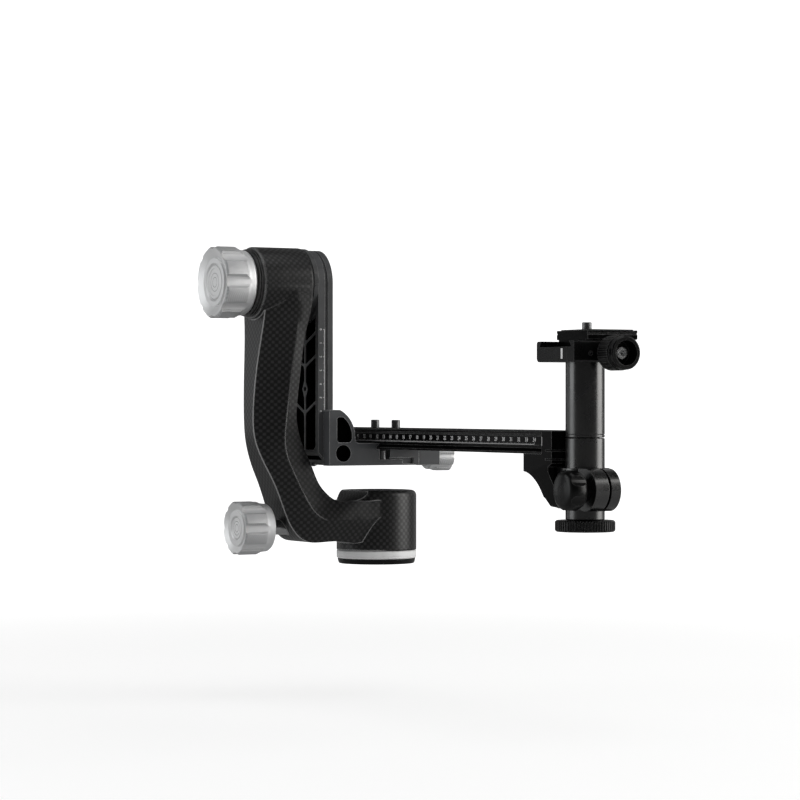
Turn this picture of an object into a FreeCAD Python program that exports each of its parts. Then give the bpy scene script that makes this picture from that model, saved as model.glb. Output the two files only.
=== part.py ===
import FreeCAD, Part
import math
import operator
import os
import Sketcher
from types import SimpleNamespace

from FreeCAD import Placement, Rotation, Vector

# Gimbal tripod head with a lens rail and a camera support post.
# Millimetres. Z is the pan axis and Z = 0 the bottom of the base, the tilt axis runs along X,
# the lens looks along +Y and the lock knobs are on the -X side.

DIMENSIONS = [
    # running clearances and shared thicknesses
    ("run_gap", 0.05),              # radial gap of a shaft in its bore
    ("face_gap", 0.3),              # gap between faces that turn past each other
    ("slide_gap", 0.12),            # gap beside a sliding face
    # base
    ("base_plate_height", 4.0),
    ("base_plate_radius", 29.3),
    ("base_plate_taper", 0.8),
    ("base_ring_height", 6.0),
    ("base_ring_radius", 30.0),
    ("base_screw_circle", 21.5),
    ("base_screw_radius", 2.0),
    ("base_screw_head", 3.6),
    ("base_screw_length", 8.0),
    ("spindle_foot_radius", 12.0),
    ("spindle_shoulder", 14.4),
    ("spindle_radius", 9.95),
    ("tripod_thread_radius", 4.0),
    ("tripod_thread_depth", 13.0),
    ("spindle_nut_height", 4.0),
    # yoke
    ("hub_radius", 30.0),
    ("hub_height", 44.5),
    ("hub_round", 4.0),
    ("hub_cap_radius", 17.0),
    ("hub_cap_height", 2.2),
    ("pan_race_radius", 15.5),
    ("bearing_height", 7.0),
    ("bearing_wall", 2.6),
    ("scoop_radius", 12.0),
    ("scoop_reach", 30.0),
    ("tilt_height", 208.0),
    ("yoke_reach", 106.0),
    ("upper_hub_radius", 26.5),
    ("upper_hub_length", 40.0),
    ("upper_hub_wall", 5.0),
    ("upper_hub_round", 1.6),
    ("leg_depth", 30.4),
    ("leg_half_width", 20.0),
    ("leg_edge_half", 7.6),
    ("foot_top", 47.0),
    ("foot_bottom", 17.5),
    ("foot_half_width", 28.0),
    ("tilt_race_radius", 16.0),
    ("tilt_shaft_radius", 9.95),
    ("brake_disc_height", 2.6),
    ("brake_disc_radius", 12.0),
    # lock knobs
    ("tilt_knob_radius", 26.5),
    ("tilt_knob_length", 26.0),
    ("tilt_collar_length", 4.0),
    ("tilt_collar_radius", 25.0),
    ("tilt_stud_radius", 6.0),
    ("pan_knob_radius", 19.8),
    ("pan_knob_length", 25.5),
    ("pan_knob_inset", 13.5),
    ("pan_lock_height", 28.4),
    ("pan_stud_radius", 4.0),
    ("pan_bush_radius", 5.5),
    ("pan_bush_inset", 17.4),
    ("pan_bush_length", 16.0),
    ("brake_shoe_length", 9.6),
    ("knob_dish", 3.0),
    # swing arm
    ("flange_height", 3.8),
    ("flange_radius", 26.0),
    ("arm_gap", 4.0),
    ("arm_thickness", 12.0),
    ("arm_half_width", 25.0),
    ("arm_clearance", 20.2),
    ("arm_pocket_depth", 6.5),
    ("arm_rim", 4.6),
    ("arm_rib", 1.8),
    ("rib_setback", 1.6),
    ("arm_groove_depth", 1.3),
    ("arm_groove_width", 2.4),
    ("arm_groove_offset", 6.6),
    ("arm_screw_circle", 16.0),
    ("arm_screw_radius", 2.0),
    ("arm_screw_sink", 2.4),
    # cradle
    ("cradle_half_length", 35.0),
    ("cradle_overlap", 1.0),
    ("slider_height", 41.0),
    ("bed_height", 12.0),
    ("slider_lip", 8.0),
    ("slider_back", 5.8),
    ("gusset_round", 22.0),
    ("bed_inner_edge", 17.0),
    ("window_rise", 17.0),
    ("window_margin", 5.4),
    ("recess_rise", 4.2),
    ("jaw_width", 17.4),
    ("clamp_axis_rise", 6.0),
    ("clamp_screw_radius", 4.0),
    ("clamp_screw_depth", 18.5),
    ("clamp_knob_gap", 8.0),
    ("spring_depth", 6.0),
    ("clamp_knob_radius", 11.5),
    ("clamp_knob_length", 19.0),
    ("guide_radius", 2.5),
    ("guide_spacing", 22.0),
    ("guide_depth", 12.0),
    ("height_knob_radius", 14.0),
    ("height_knob_length", 16.0),
    ("height_stud_radius", 3.0),
    ("height_lock_rise", 23.0),
    ("height_knob_gap", 1.5),
    ("safety_pin_radius", 3.2),
    ("safety_pin_travel", 2.5),
    ("safety_pin_place", 11.8),
    ("safety_pin_inset", 5.0),
    # lens rail
    ("rail_half_width", 19.0),
    ("rail_height", 15.5),
    ("rail_length", 350.0),
    ("rail_front", 85.0),
    ("dovetail_depth", 2.5),
    ("dovetail_foot", 1.3),
    ("dovetail_height", 5.6),
    ("rail_slot_width", 7.0),
    ("rail_slot_under", 15.0),
    ("rail_slot_depth", 6.0),
    ("rail_slot_front", 20.0),
    ("rail_slot_back", 40.0),
    ("rail_channel_half", 10.5),
    ("lens_screw_radius", 3.175),
    ("lens_screw_spacing", 32.0),
    ("lens_screw_place", 2.0),
    ("lens_screw_reach", 6.0),
    ("captive_neck_radius", 2.5),
    ("stop_screw_radius", 3.0),
    ("stop_screw_height", 2.0),
    ("stop_screw_side", 12.5),
    ("front_stop_offset", 77.0),
    # bracket, collar and post
    ("post_overhang", 24.0),
    ("post_radius", 13.0),
    ("collar_wall", 3.0),
    ("collar_drop", 36.0),
    ("gusset_reach", 23.0),         # bracket under the rail, from the rail's end
    ("gusset_rise", 24.0),
    ("gusset_sweep", 12.0),
    ("gusset_toe", 20.0),
    ("gusset_taper", 9.0),
    ("relief_slit", 0.8),
    ("relief_slit_depth", 8.0),
    ("collar_block_half", 11.5),
    ("collar_height", 27.0),
    ("ear_height", 13.0),
    ("ear_offset", 18.0),
    ("ear_radius", 14.0),
    ("ear_start", -12.0),
    ("ear_end", 7.4),
    ("ear_slit", 1.8),
    ("ear_slit_place", -0.8),
    ("bracket_screw_radius", 2.0),
    ("bracket_screw_head", 3.4),
    ("collar_screw_radius", 3.0),
    ("collar_knob_radius", 13.6),
    ("collar_knob_length", 18.5),
    ("sleeve_foot", 7.2),
    ("sleeve_length", 54.1),
    ("sleeve_floor", 3.4),
    ("spigot_radius", 9.5),
    ("spigot_length", 35.0),
    ("tube_length", 49.8),
    ("lead_screw_radius", 3.95),
    ("lead_screw_length", 57.0),
    ("wheel_radius", 20.0),
    ("wheel_height", 7.5),
    ("wheel_teeth", 60),
    # camera clamp and plate
    ("camera_clamp_shift", 3.0),
    ("camera_clamp_half", 21.5),
    ("camera_bed_height", 10.0),
    ("camera_jaw_wall", 4.0),
    ("camera_jaw_depth", 9.0),
    ("camera_screw_axis", 5.6),
    ("camera_knob_radius", 11.5),
    ("camera_knob_length", 22.0),
    ("camera_stud_radius", 3.0),
    ("camera_guide_radius", 1.6),
    ("camera_guide_spacing", 13.0),
    ("camera_guide_depth", 16.0),
    ("plate_half_length", 19.5),
    ("plate_shift", 11.3),
    ("camera_screw_place", 3.3),
    ("plate_height", 11.0),
    ("plate_pad_height", 1.2),
    ("plate_pad_inset", 2.0),
    ("plate_track_depth", 5.0),
    ("camera_thread_radius", 3.175),
    ("camera_thread_reach", 5.5),
]

OPERATORS = {"+": operator.add, "-": operator.sub, "*": operator.mul, "/": operator.truediv}


class Size:
    """A size with its value in millimetres and the sheet expression that drives it."""

    def __init__(self, number, text):
        self.number = float(number)
        self.text = text

    def join(self, other, sign, swapped=False):
        other = sized(other)
        left, right = (other, self) if swapped else (self, other)
        number = OPERATORS[sign](left.number, right.number)
        return Size(number, f"({left.text} {sign} {right.text})")

    def __add__(self, other):
        return self.join(other, "+")

    def __radd__(self, other):
        return self.join(other, "+", True)

    def __sub__(self, other):
        return self.join(other, "-")

    def __rsub__(self, other):
        return self.join(other, "-", True)

    def __mul__(self, other):
        return self.join(other, "*")

    def __rmul__(self, other):
        return self.join(other, "*", True)

    def __truediv__(self, other):
        return self.join(other, "/")

    def __neg__(self):
        return self.join(0, "-", True)

    def __float__(self):
        return self.number


def sized(value):
    return value if isinstance(value, Size) else Size(value, f"({value})")


def bind(thing, name, value):
    """Set one property from a size, bound to the sheet."""
    thing.setExpression(name, sized(value).text)


doc = FreeCAD.newDocument("GimbalHead")
sheet = doc.addObject("Spreadsheet::Sheet", "Sizes")
for row, (alias, number) in enumerate(DIMENSIONS, start=1):
    sheet.set(f"A{row}", alias)
    sheet.set(f"B{row}", str(number))
    sheet.setAlias(f"B{row}", alias)
doc.recompute()
s = SimpleNamespace(**{alias: Size(sheet.get(alias), f"Sizes.{alias}") for alias, _ in DIMENSIONS})
subparts = []

# Directions in which a turned piece's own +Z axis can be laid.
UP = Rotation()
DOWN = Rotation(Vector(1, 0, 0), 180)
LEFT = Rotation(Vector(0, 1, 0), -90)
RIGHT = Rotation(Vector(0, 1, 0), 90)
NEAR = Rotation(Vector(1, 0, 0), 90)
FAR = Rotation(Vector(1, 0, 0), -90)


# ---------------------------------------------------------------- building helpers

def place(thing, at=(0, 0, 0), turned=UP):
    """Put a finished sub-part at its place, each coordinate bound to the sheet."""
    thing.Placement = Placement(Vector(*[float(value) for value in at]), turned)
    for axis, value in zip("xyz", at):
        bind(thing, f"Placement.Base.{axis}", value)


def keep(thing, label, at=(0, 0, 0), turned=UP):
    """Name a sub-part, place it and list it for writing."""
    thing.Label = label
    place(thing, at, turned)
    subparts.append(thing)
    return thing


def feature(label, shape, at=(0, 0, 0), turned=UP):
    """A sub-part whose shape is worked out here."""
    thing = doc.addObject("Part::Feature", label)
    thing.Shape = shape
    return keep(thing, label, at, turned)


def body(name):
    return doc.addObject("PartDesign::Body", name + "_body")


def sketch(owner, role, offset=None):
    """A sketch on one of the body's own origin planes, moved along the plane's normal."""
    plane = [item for item in owner.Origin.OriginFeatures if item.Role == role][0]
    drawing = owner.newObject("Sketcher::SketchObject", owner.Name + "_sketch")
    drawing.AttachmentSupport = [(plane, "")]
    drawing.MapMode = "FlatFace"
    if offset is not None:
        bind(drawing, "AttachmentOffset.Base.z", offset)
    return drawing


def fix(drawing, kind, element, point, value):
    """Tie a point's coordinate to the sheet."""
    number = float(value)
    index = drawing.addConstraint(Sketcher.Constraint(kind, -1, 1, element, point, number))
    if isinstance(value, Size):
        bind(drawing, f"Constraints[{index}]", value)


def outline(drawing, corners):
    """A closed outline. A corner (u, v) starts a straight edge and (u, v, r) an arc of radius r
    to the next corner, with its centre on the left for a positive r and on the right for a
    negative one."""
    first = drawing.GeometryCount
    starts = []
    ends = []
    for index, corner in enumerate(corners):
        nearby = corners[(index + 1) % len(corners)]
        here = Vector(float(corner[0]), float(corner[1]), 0)
        there = Vector(float(nearby[0]), float(nearby[1]), 0)
        if len(corner) == 2:
            drawing.addGeometry(Part.LineSegment(here, there), False)
            starts.append(1)
            ends.append(2)
            continue
        radius = float(corner[2])
        chord = there - here
        side = Vector(-chord.y, chord.x, 0).normalize()
        rise = math.sqrt(max(radius * radius - chord.Length ** 2 / 4, 0))
        centre = (here + there) / 2 + side * math.copysign(rise, radius)
        circle = Part.Circle(centre, Vector(0, 0, 1), abs(radius))
        left = here if radius > 0 else there
        right = there if radius > 0 else here
        angles = [math.atan2(end.y - centre.y, end.x - centre.x) for end in (left, right)]
        if angles[1] < angles[0]:
            angles[1] += math.tau
        drawing.addGeometry(Part.ArcOfCircle(circle, angles[0], angles[1]), False)
        starts.append(1 if radius > 0 else 2)
        ends.append(2 if radius > 0 else 1)
    count = len(corners)
    for index in range(count):
        after = (index + 1) % count
        drawing.addConstraint(Sketcher.Constraint(
            "Coincident", first + index, ends[index], first + after, starts[after]))
    for index, corner in enumerate(corners):
        fix(drawing, "DistanceX", first + index, starts[index], corner[0])
        fix(drawing, "DistanceY", first + index, starts[index], corner[1])
        if len(corner) == 2:
            continue
        nearby = corners[(index + 1) % count]
        radius = corner[2] if float(corner[2]) > 0 else -corner[2]
        across = math.hypot(float(nearby[0]) - float(corner[0]), float(nearby[1]) - float(corner[1]))
        if float(radius) * 2 > across * 1.001:
            number = drawing.addConstraint(Sketcher.Constraint("Radius", first + index, float(radius)))
            bind(drawing, f"Constraints[{number}]", radius)
        elif abs(float(nearby[0]) - float(corner[0])) > across / 2:
            fix(drawing, "DistanceY", first + index, 3, (corner[1] + nearby[1]) / 2)
        else:
            fix(drawing, "DistanceX", first + index, 3, (corner[0] + nearby[0]) / 2)


def circle(drawing, u, v, radius):
    index = drawing.GeometryCount
    centre = Vector(float(u), float(v), 0)
    drawing.addGeometry(Part.Circle(centre, Vector(0, 0, 1), float(radius)), False)
    fix(drawing, "DistanceX", index, 3, u)
    fix(drawing, "DistanceY", index, 3, v)
    number = drawing.addConstraint(Sketcher.Constraint("Radius", index, float(radius)))
    bind(drawing, f"Constraints[{number}]", radius)


def rectangle(drawing, u0, v0, u1, v1):
    outline(drawing, [(u0, v0), (u1, v0), (u1, v1), (u0, v1)])


def pad(owner, drawing, length, both=False, flip=False):
    """Raise a sketch along its normal, against it, or half each way."""
    raised = owner.newObject("PartDesign::Pad", owner.Name + "_pad")
    raised.Profile = drawing
    raised.SideType = "Symmetric" if both else "One side"
    raised.Reversed = flip
    bind(raised, "Length", length)
    return raised


def pocket(owner, drawing, length=None, both=False, flip=False):
    """Cut a sketch against its normal, along it, or half each way, and see that it cuts."""
    doc.recompute()
    if owner.Shape.isNull():
        raise RuntimeError(f"{owner.Name} has no solid before its pocket")
    before = owner.Shape.Volume
    cut = owner.newObject("PartDesign::Pocket", owner.Name + "_pocket")
    cut.Profile = drawing
    cut.SideType = "Symmetric" if both else "One side"
    cut.Reversed = flip
    if length is None:
        cut.Type = "ThroughAll"
    else:
        bind(cut, "Length", length)
    doc.recompute()
    if not owner.Shape.Volume < before - 1e-3:
        raise RuntimeError(f"{cut.Name} cuts nothing")
    return cut


def revolve(owner, corners, plane="XZ_Plane"):
    """Turn an outline (radius, height) about the body's own Z axis."""
    drawing = sketch(owner, plane)
    outline(drawing, corners)
    turned = owner.newObject("PartDesign::Revolution", owner.Name + "_turn")
    turned.Profile = drawing
    turned.ReferenceAxis = (drawing, ["V_Axis"])
    turned.Angle = 360
    return turned


def around(owner, cut, drawing, count):
    """Repeat a cut evenly about the sketch's normal."""
    pattern = owner.newObject("PartDesign::PolarPattern", owner.Name + "_pattern")
    pattern.Originals = [cut]
    pattern.Axis = (drawing, ["N_Axis"])
    pattern.Angle = 360
    pattern.Occurrences = int(float(count))
    if isinstance(count, Size):
        bind(pattern, "Occurrences", count)
    owner.Tip = pattern
    return pattern


def turned_piece(label, corners, at=(0, 0, 0), turned=UP):
    owner = body(label)
    revolve(owner, corners)
    return keep(owner, label, at, turned)


def ring(label, inner, outer, height, at, turned=UP, edge=0.4):
    """A plain turned ring with broken outer corners."""
    corners = [(inner, 0), (outer - edge, 0), (outer, edge), (outer, height - edge)]
    corners += [(outer - edge, height), (inner, height)]
    return turned_piece(label, corners, at, turned)


def group(label, members, at=(0, 0, 0), turned=UP):
    """Separate like solids that share one node."""
    compound = doc.addObject("Part::Compound", label)
    compound.Links = members
    return keep(compound, label, at, turned)


def screw(name, radius, length, head_radius, head_height, at, turned=UP, neck=0):
    """A screw along its own +Z with the head's underside at its origin and the head below it.
    A captive screw has a thin neck of the given length under its thread."""
    tip = 0.4
    owner = body(name)
    head = [(0, -head_height), (head_radius - tip, -head_height), (head_radius, tip - head_height),
            (head_radius, 0)]
    if float(neck):
        head += [(s.captive_neck_radius, 0), (s.captive_neck_radius, neck), (radius, neck)]
    else:
        head.append((radius, 0))
    revolve(owner, head + [(radius, length - tip), (radius - tip, length), (0, length)])
    place(owner, at, turned)
    return owner


def knob(label, radius, length, lobes, scallop, depth, bore, at, turned, cap_share=0.47):
    """A lobed knob from its rear face at the origin to its dished front face at +Z.
    The rear skirt is narrower than the lobes, so each scallop runs out on it in a pointed end."""
    rim = radius * 0.06
    skirt = radius - depth
    owner = body(label)
    revolve(owner, [
        (bore, 0), (skirt - rim, 0), (skirt - rim * 0.3, rim), (skirt + 0.15, length * 0.24),
        (radius, length * 0.40),
        (radius, length - rim), (radius - rim, length), (radius * 0.68, length - rim * 1.8),
        (radius * 0.66, length - rim * 0.9), (radius * (cap_share + 0.06), length - rim * 0.9),
        (radius * (cap_share + 0.01), length - rim * 1.5), (radius * (cap_share + 0.01), length - s.knob_dish),
        (bore, length - s.knob_dish)])
    drawing = sketch(owner, "XY_Plane")
    circle(drawing, radius + scallop - depth, 0, scallop)
    cut = pocket(owner, drawing, length, flip=True)
    around(owner, cut, drawing, lobes)
    return keep(owner, label, at, turned)


def domed_knob(label, radius, length, lobes, scallop, depth, bore, bore_depth, boss, boss_radius, at, turned):
    """A lobed knob with a closed, domed front. A boss lifts its skirt off the face behind it."""
    skirt = radius - depth
    owner = body(label)
    revolve(owner, [
        (bore, 0), (boss_radius, 0), (boss_radius, boss), (skirt - 0.8, boss), (skirt, boss + 0.8),
        (radius, boss + (length - boss) * 0.30), (radius, length - 5.0, 5.5), (radius * 0.72, length - 0.9),
        (radius * 0.3, length - 0.1), (0, length), (0, bore_depth), (bore, bore_depth)])
    drawing = sketch(owner, "XY_Plane", boss)
    circle(drawing, radius + scallop - depth, 0, scallop)
    cut = pocket(owner, drawing, length - boss, flip=True)
    around(owner, cut, drawing, lobes)
    return keep(owner, label, at, turned)


def knob_cap(label, radius, length, at, turned, cap_share=0.47):
    """The bare disc in the front of a knob."""
    disc = radius * cap_share
    rise = length - s.knob_dish
    return turned_piece(label, [
        (0, rise), (disc, rise), (disc, length - radius * 0.10),
        (disc - 0.5, length - radius * 0.07), (disc * 0.82, length - radius * 0.07),
        (disc * 0.78, length - radius * 0.085), (0, length - radius * 0.085)], at, turned)


# ---------------------------------------------------------------- base

ring_bottom = s.base_plate_height
ring_top = ring_bottom + s.base_ring_height
hub_bottom = ring_top + s.face_gap
hub_top = hub_bottom + s.hub_height
cap_bottom = hub_top - s.hub_cap_height
nut_bottom = cap_bottom - 1.5 - s.spindle_nut_height
race_bottom = hub_bottom + 1.5
upper_race_bottom = nut_bottom - s.face_gap - s.bearing_height
arm_bottom = hub_top + s.arm_clearance
arm_drop = s.tilt_height - arm_bottom
cradle_bottom = arm_bottom - s.cradle_overlap
slider_top = cradle_bottom + s.slider_height
rail_bottom = cradle_bottom + s.bed_height
rail_end = s.rail_front - s.rail_length
rail_top = rail_bottom + s.rail_height
post_offset = s.post_overhang - rail_end
collar_bottom = rail_bottom - s.collar_drop
sleeve_bottom = collar_bottom - s.sleeve_foot
sleeve_top = sleeve_bottom + s.sleeve_length
tube_bottom = sleeve_top + s.face_gap
tube_top = tube_bottom + s.tube_length
camera_clamp_offset = post_offset - s.camera_clamp_shift


def make_base():
    plate = body("base_plate")
    chamfer = 0.6
    revolve(plate, [
        (s.spindle_foot_radius + s.run_gap, 0),
        (s.base_plate_radius - s.base_plate_taper - chamfer, 0),
        (s.base_plate_radius - s.base_plate_taper, chamfer),
        (s.base_plate_radius, s.base_plate_height - chamfer),
        (s.base_plate_radius - chamfer, s.base_plate_height),
        (s.spindle_foot_radius + s.run_gap, s.base_plate_height)])
    drawing = sketch(plate, "XY_Plane")
    circle(drawing, s.base_screw_circle, 0, s.base_screw_head + s.slide_gap)
    sink = pocket(plate, drawing, s.base_plate_height / 2, flip=True)
    around(plate, sink, drawing, 3)
    drawing = sketch(plate, "XY_Plane")
    circle(drawing, s.base_screw_circle, 0, s.base_screw_radius + s.slide_gap)
    hole = pocket(plate, drawing, s.base_plate_height, flip=True)
    around(plate, hole, drawing, 3)
    keep(plate, "base_plate")

    collar = body("base_ring")
    edge = 0.7
    groove = 0.35
    middle = s.base_ring_height * 0.22
    revolve(collar, [
        (s.spindle_shoulder + s.run_gap, 0), (s.base_ring_radius - edge, 0), (s.base_ring_radius, edge),
        (s.base_ring_radius, middle), (s.base_ring_radius - groove, middle + groove),
        (s.base_ring_radius, middle + groove * 2),
        (s.base_ring_radius, s.base_ring_height - edge),
        (s.base_ring_radius - edge, s.base_ring_height),
        (s.spindle_shoulder + s.run_gap, s.base_ring_height)])
    drawing = sketch(collar, "XY_Plane")
    circle(drawing, s.base_screw_circle, 0, s.base_screw_radius + s.slide_gap)
    blind = s.base_plate_height / 2 + s.base_screw_length - s.base_plate_height + s.slide_gap
    hole = pocket(collar, drawing, blind, flip=True)
    around(collar, hole, drawing, 3)
    keep(collar, "base_ring", (0, 0, ring_bottom))

    screws = []
    for index in range(3):
        angle = math.radians(120 * index)
        at = (s.base_screw_circle * math.cos(angle), s.base_screw_circle * math.sin(angle),
              s.base_plate_height / 2)
        screws.append(screw(f"base_screw_{index + 1}", s.base_screw_radius, s.base_screw_length,
                            s.base_screw_head, s.base_plate_height / 2 - 0.3, at))
    group("base_screws", screws)

    turned_piece("pan_spindle", [
        (s.tripod_thread_radius, 0), (s.spindle_foot_radius, 0),
        (s.spindle_foot_radius, s.base_plate_height), (s.spindle_shoulder, s.base_plate_height),
        (s.spindle_shoulder, ring_top), (s.spindle_radius, ring_top),
        (s.spindle_radius, nut_bottom + s.spindle_nut_height - 0.8),
        (s.spindle_radius - 0.8, nut_bottom + s.spindle_nut_height), (0, nut_bottom + s.spindle_nut_height),
        (0, s.tripod_thread_depth + s.tripod_thread_radius / 2),
        (s.tripod_thread_radius, s.tripod_thread_depth)])

    nut = body("spindle_nut")
    revolve(nut, [
        (s.spindle_radius, 0), (s.pan_race_radius - 1, 0), (s.pan_race_radius - 1, s.spindle_nut_height - 0.5),
        (s.pan_race_radius - 1.5, s.spindle_nut_height), (s.spindle_radius, s.spindle_nut_height)])
    drawing = sketch(nut, "XY_Plane")
    circle(drawing, s.pan_race_radius - 1, 0, 1.8)
    notch = pocket(nut, drawing, s.spindle_nut_height, flip=True)
    around(nut, notch, drawing, 4)
    keep(nut, "spindle_nut", (0, 0, nut_bottom))


def bearing(label, inner, outer, at, turned=UP):
    """A shielded bearing: the shield lies a little below the two races' faces."""
    step = 0.5
    wall = s.bearing_wall
    height = s.bearing_height
    turned_piece(label, [
        (inner, 0), (inner + wall, 0), (inner + wall, step), (outer - wall, step), (outer - wall, 0),
        (outer, 0), (outer, height), (outer - wall, height), (outer - wall, height - step),
        (inner + wall, height - step), (inner + wall, height), (inner, height)], at, turned)


# ---------------------------------------------------------------- yoke

yoke_outer = -s.yoke_reach
yoke_inner = s.upper_hub_length - s.yoke_reach
pan_knob_start = s.yoke_reach - s.pan_knob_inset
pan_bush_reach = s.yoke_reach - s.pan_bush_inset
brake_start = yoke_outer + s.upper_hub_wall + s.face_gap
shaft_end = brake_start + s.brake_disc_height + s.face_gap
clip_start = shaft_end + 1.0
outer_race_start = clip_start + 1.6 + s.face_gap
inner_race_start = yoke_inner - 3.0 - s.bearing_height


def arm_section(outer, inner, edge, share, crease, inside):
    """One six-sided section of the yoke's arm. Outer and inner are points (x, z) in the plane
    Y = 0, edge, crease and inside the half widths at the outer face, at the crease and at the
    inner face, and share says how far in from the outer face the crease lies."""
    far = Vector(outer[0], 0, outer[1])
    near = Vector(inner[0], 0, inner[1])
    fold = far + (near - far) * share
    widths = [(far, -edge), (fold, -crease), (near, -inside), (near, inside), (fold, crease), (far, edge)]
    points = [centre + Vector(0, width, 0) for centre, width in widths]
    return Part.makePolygon(points + points[:1])


def make_yoke():
    """The arm is one loft through six-sided sections that turn from the upright leg into the
    foot: its outer flat narrows to a waist and widens again, and its two creases run on."""
    reach = float(s.yoke_reach)
    axis = float(s.tilt_height)
    depth = float(s.leg_depth)
    hub = float(s.upper_hub_radius)
    leg = float(s.leg_half_width)
    waist = float(s.leg_edge_half)
    top = float(s.foot_top)
    under = float(s.foot_bottom)
    foot = float(s.foot_half_width)
    length = float(s.upper_hub_length)
    bend = top + 57
    drop = axis - bend
    flush = 1.5
    # upright leg, measured down from the tilt axis and in from the outer face
    sections = [
        arm_section((4.0 - reach, axis - 2), (length - flush - reach, axis - 2),
                    waist + 11.6, 0.60, hub - 0.7, hub - 2.4),
        arm_section((3.9 - reach, axis - 18), (length - flush - reach, axis - 18),
                    waist + 10.2, 0.66, hub - 0.8, hub - 1.7),
        arm_section((3.0 - reach, axis - drop * 0.346), (depth + 5.0 - reach, axis - drop * 0.346),
                    waist + 7.0, 0.74, leg + 3.4, leg + 1.9),
        arm_section((0.8 - reach, axis - drop * 0.577), (depth + 2.2 - reach, axis - drop * 0.577),
                    waist + 3.2, 0.76, leg + 0.8, leg),
        arm_section((-0.7 - reach, axis - drop * 0.808), (depth - 0.6 - reach, axis - drop * 0.808),
                    waist + 0.9, 0.76, leg + 0.2, leg - 0.4),
        arm_section((-0.8 - reach, bend), (depth - 0.7 - reach, bend), waist, 0.69, leg, leg - 0.7),
    ]
    # bend, measured in from the outer face and up or down from the foot's top
    for out, high, inset, low, edge, share, crease, inside in (
            (1.6, 41.5, 35.0, 40.0, waist + 1.2, 0.55, leg, leg - 1.0),
            (7.2, 27.0, 40.5, 29.0, waist + 4.0, 0.50, leg + 0.3, leg - 1.0),
            (14.2, 12.4, 46.0, 15.4, waist + 6.0, 0.50, leg + 2.0, leg),
            (20.4, -4, 51.5, 7.2, waist + 7.0, 0.50, leg + 4.0, leg + 2.0),
            (27.0, -18.8, 57.0, 2.3, waist + 8.0, 0.52, foot - 2.6, foot - 4.0)):
        sections.append(arm_section((out - reach, top + high), (inset - reach, top + low),
                                    edge, share, crease, inside))
    # foot, from its start at the bend to the pan axis, each end in shares of that run
    low_run = reach - 36.0
    high_run = reach - 62.5
    sections.append(arm_section((-low_run, under + 1.5), (-high_run, top + 0.3),
                                waist + 9.5, 0.54, foot - 1, foot - 2.4))
    for low_share, high_share, edge, inside in (
            (0.771, 0.828, waist + 11, foot - 0.8), (0.543, 0.621, waist + 12, foot - 0.3),
            (0.314, 0.414, waist + 12, foot - 0.3), (0.114, 0.184, waist + 12, foot - 0.3)):
        sections.append(arm_section((-low_run * low_share, under), (-high_run * high_share, top),
                                    edge, 0.55, foot, inside))
    arm = Part.makeLoft(sections, True, False)

    hub_base = float(hub_bottom)
    lower = Part.makeCylinder(float(s.hub_radius), float(s.hub_height), Vector(0, 0, hub_base))
    rims = [edge for edge in lower.Edges if edge.Closed and edge.BoundBox.ZMin > hub_base + 1]
    lower = lower.makeFillet(float(s.hub_round), rims)
    upper = Part.makeCylinder(hub, length, Vector(-reach, 0, axis), Vector(1, 0, 0))
    rims = [edge for edge in upper.Edges if edge.Closed]
    upper = upper.makeFillet(float(s.upper_hub_round), rims)
    solid = arm.fuse([lower, upper])

    scoop = Part.makeCylinder(float(s.scoop_radius), foot * 4,
                              Vector(-float(s.scoop_reach), -foot * 2, top + float(s.scoop_radius)),
                              Vector(0, 1, 0))
    run_gap = float(s.run_gap)
    bores = [
        (float(s.pan_race_radius) + run_gap, hub_base - 1, float(cap_bottom) - 1.2),
        (float(s.pan_race_radius) - 1.2, hub_base - 1, float(cap_bottom) + 1),
        (float(s.hub_cap_radius) + run_gap, float(cap_bottom), float(hub_top) + 1)]
    cutters = [scoop]
    for radius, low, high in bores:
        cutters.append(Part.makeCylinder(radius, high - low, Vector(0, 0, low)))
    lock_z = float(s.pan_lock_height)
    bush_end = -float(pan_bush_reach) + float(s.pan_bush_length)
    cutters.append(Part.makeCylinder(float(s.pan_stud_radius) + run_gap, reach,
                                     Vector(-reach, 0, lock_z), Vector(1, 0, 0)))
    cutters.append(Part.makeCylinder(float(s.pan_bush_radius), reach + bush_end,
                                     Vector(-reach, 0, lock_z), Vector(1, 0, 0)))
    bore_start = -reach + float(s.upper_hub_wall)
    cutters.append(Part.makeCylinder(float(s.tilt_race_radius) + run_gap, length,
                                     Vector(bore_start, 0, axis), Vector(1, 0, 0)))
    cutters.append(Part.makeCylinder(float(s.tilt_stud_radius) + run_gap, length,
                                     Vector(-reach - 1, 0, axis), Vector(1, 0, 0)))
    solid = solid.cut(cutters).removeSplitter()
    feature("yoke", solid.Solids[0])


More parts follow.
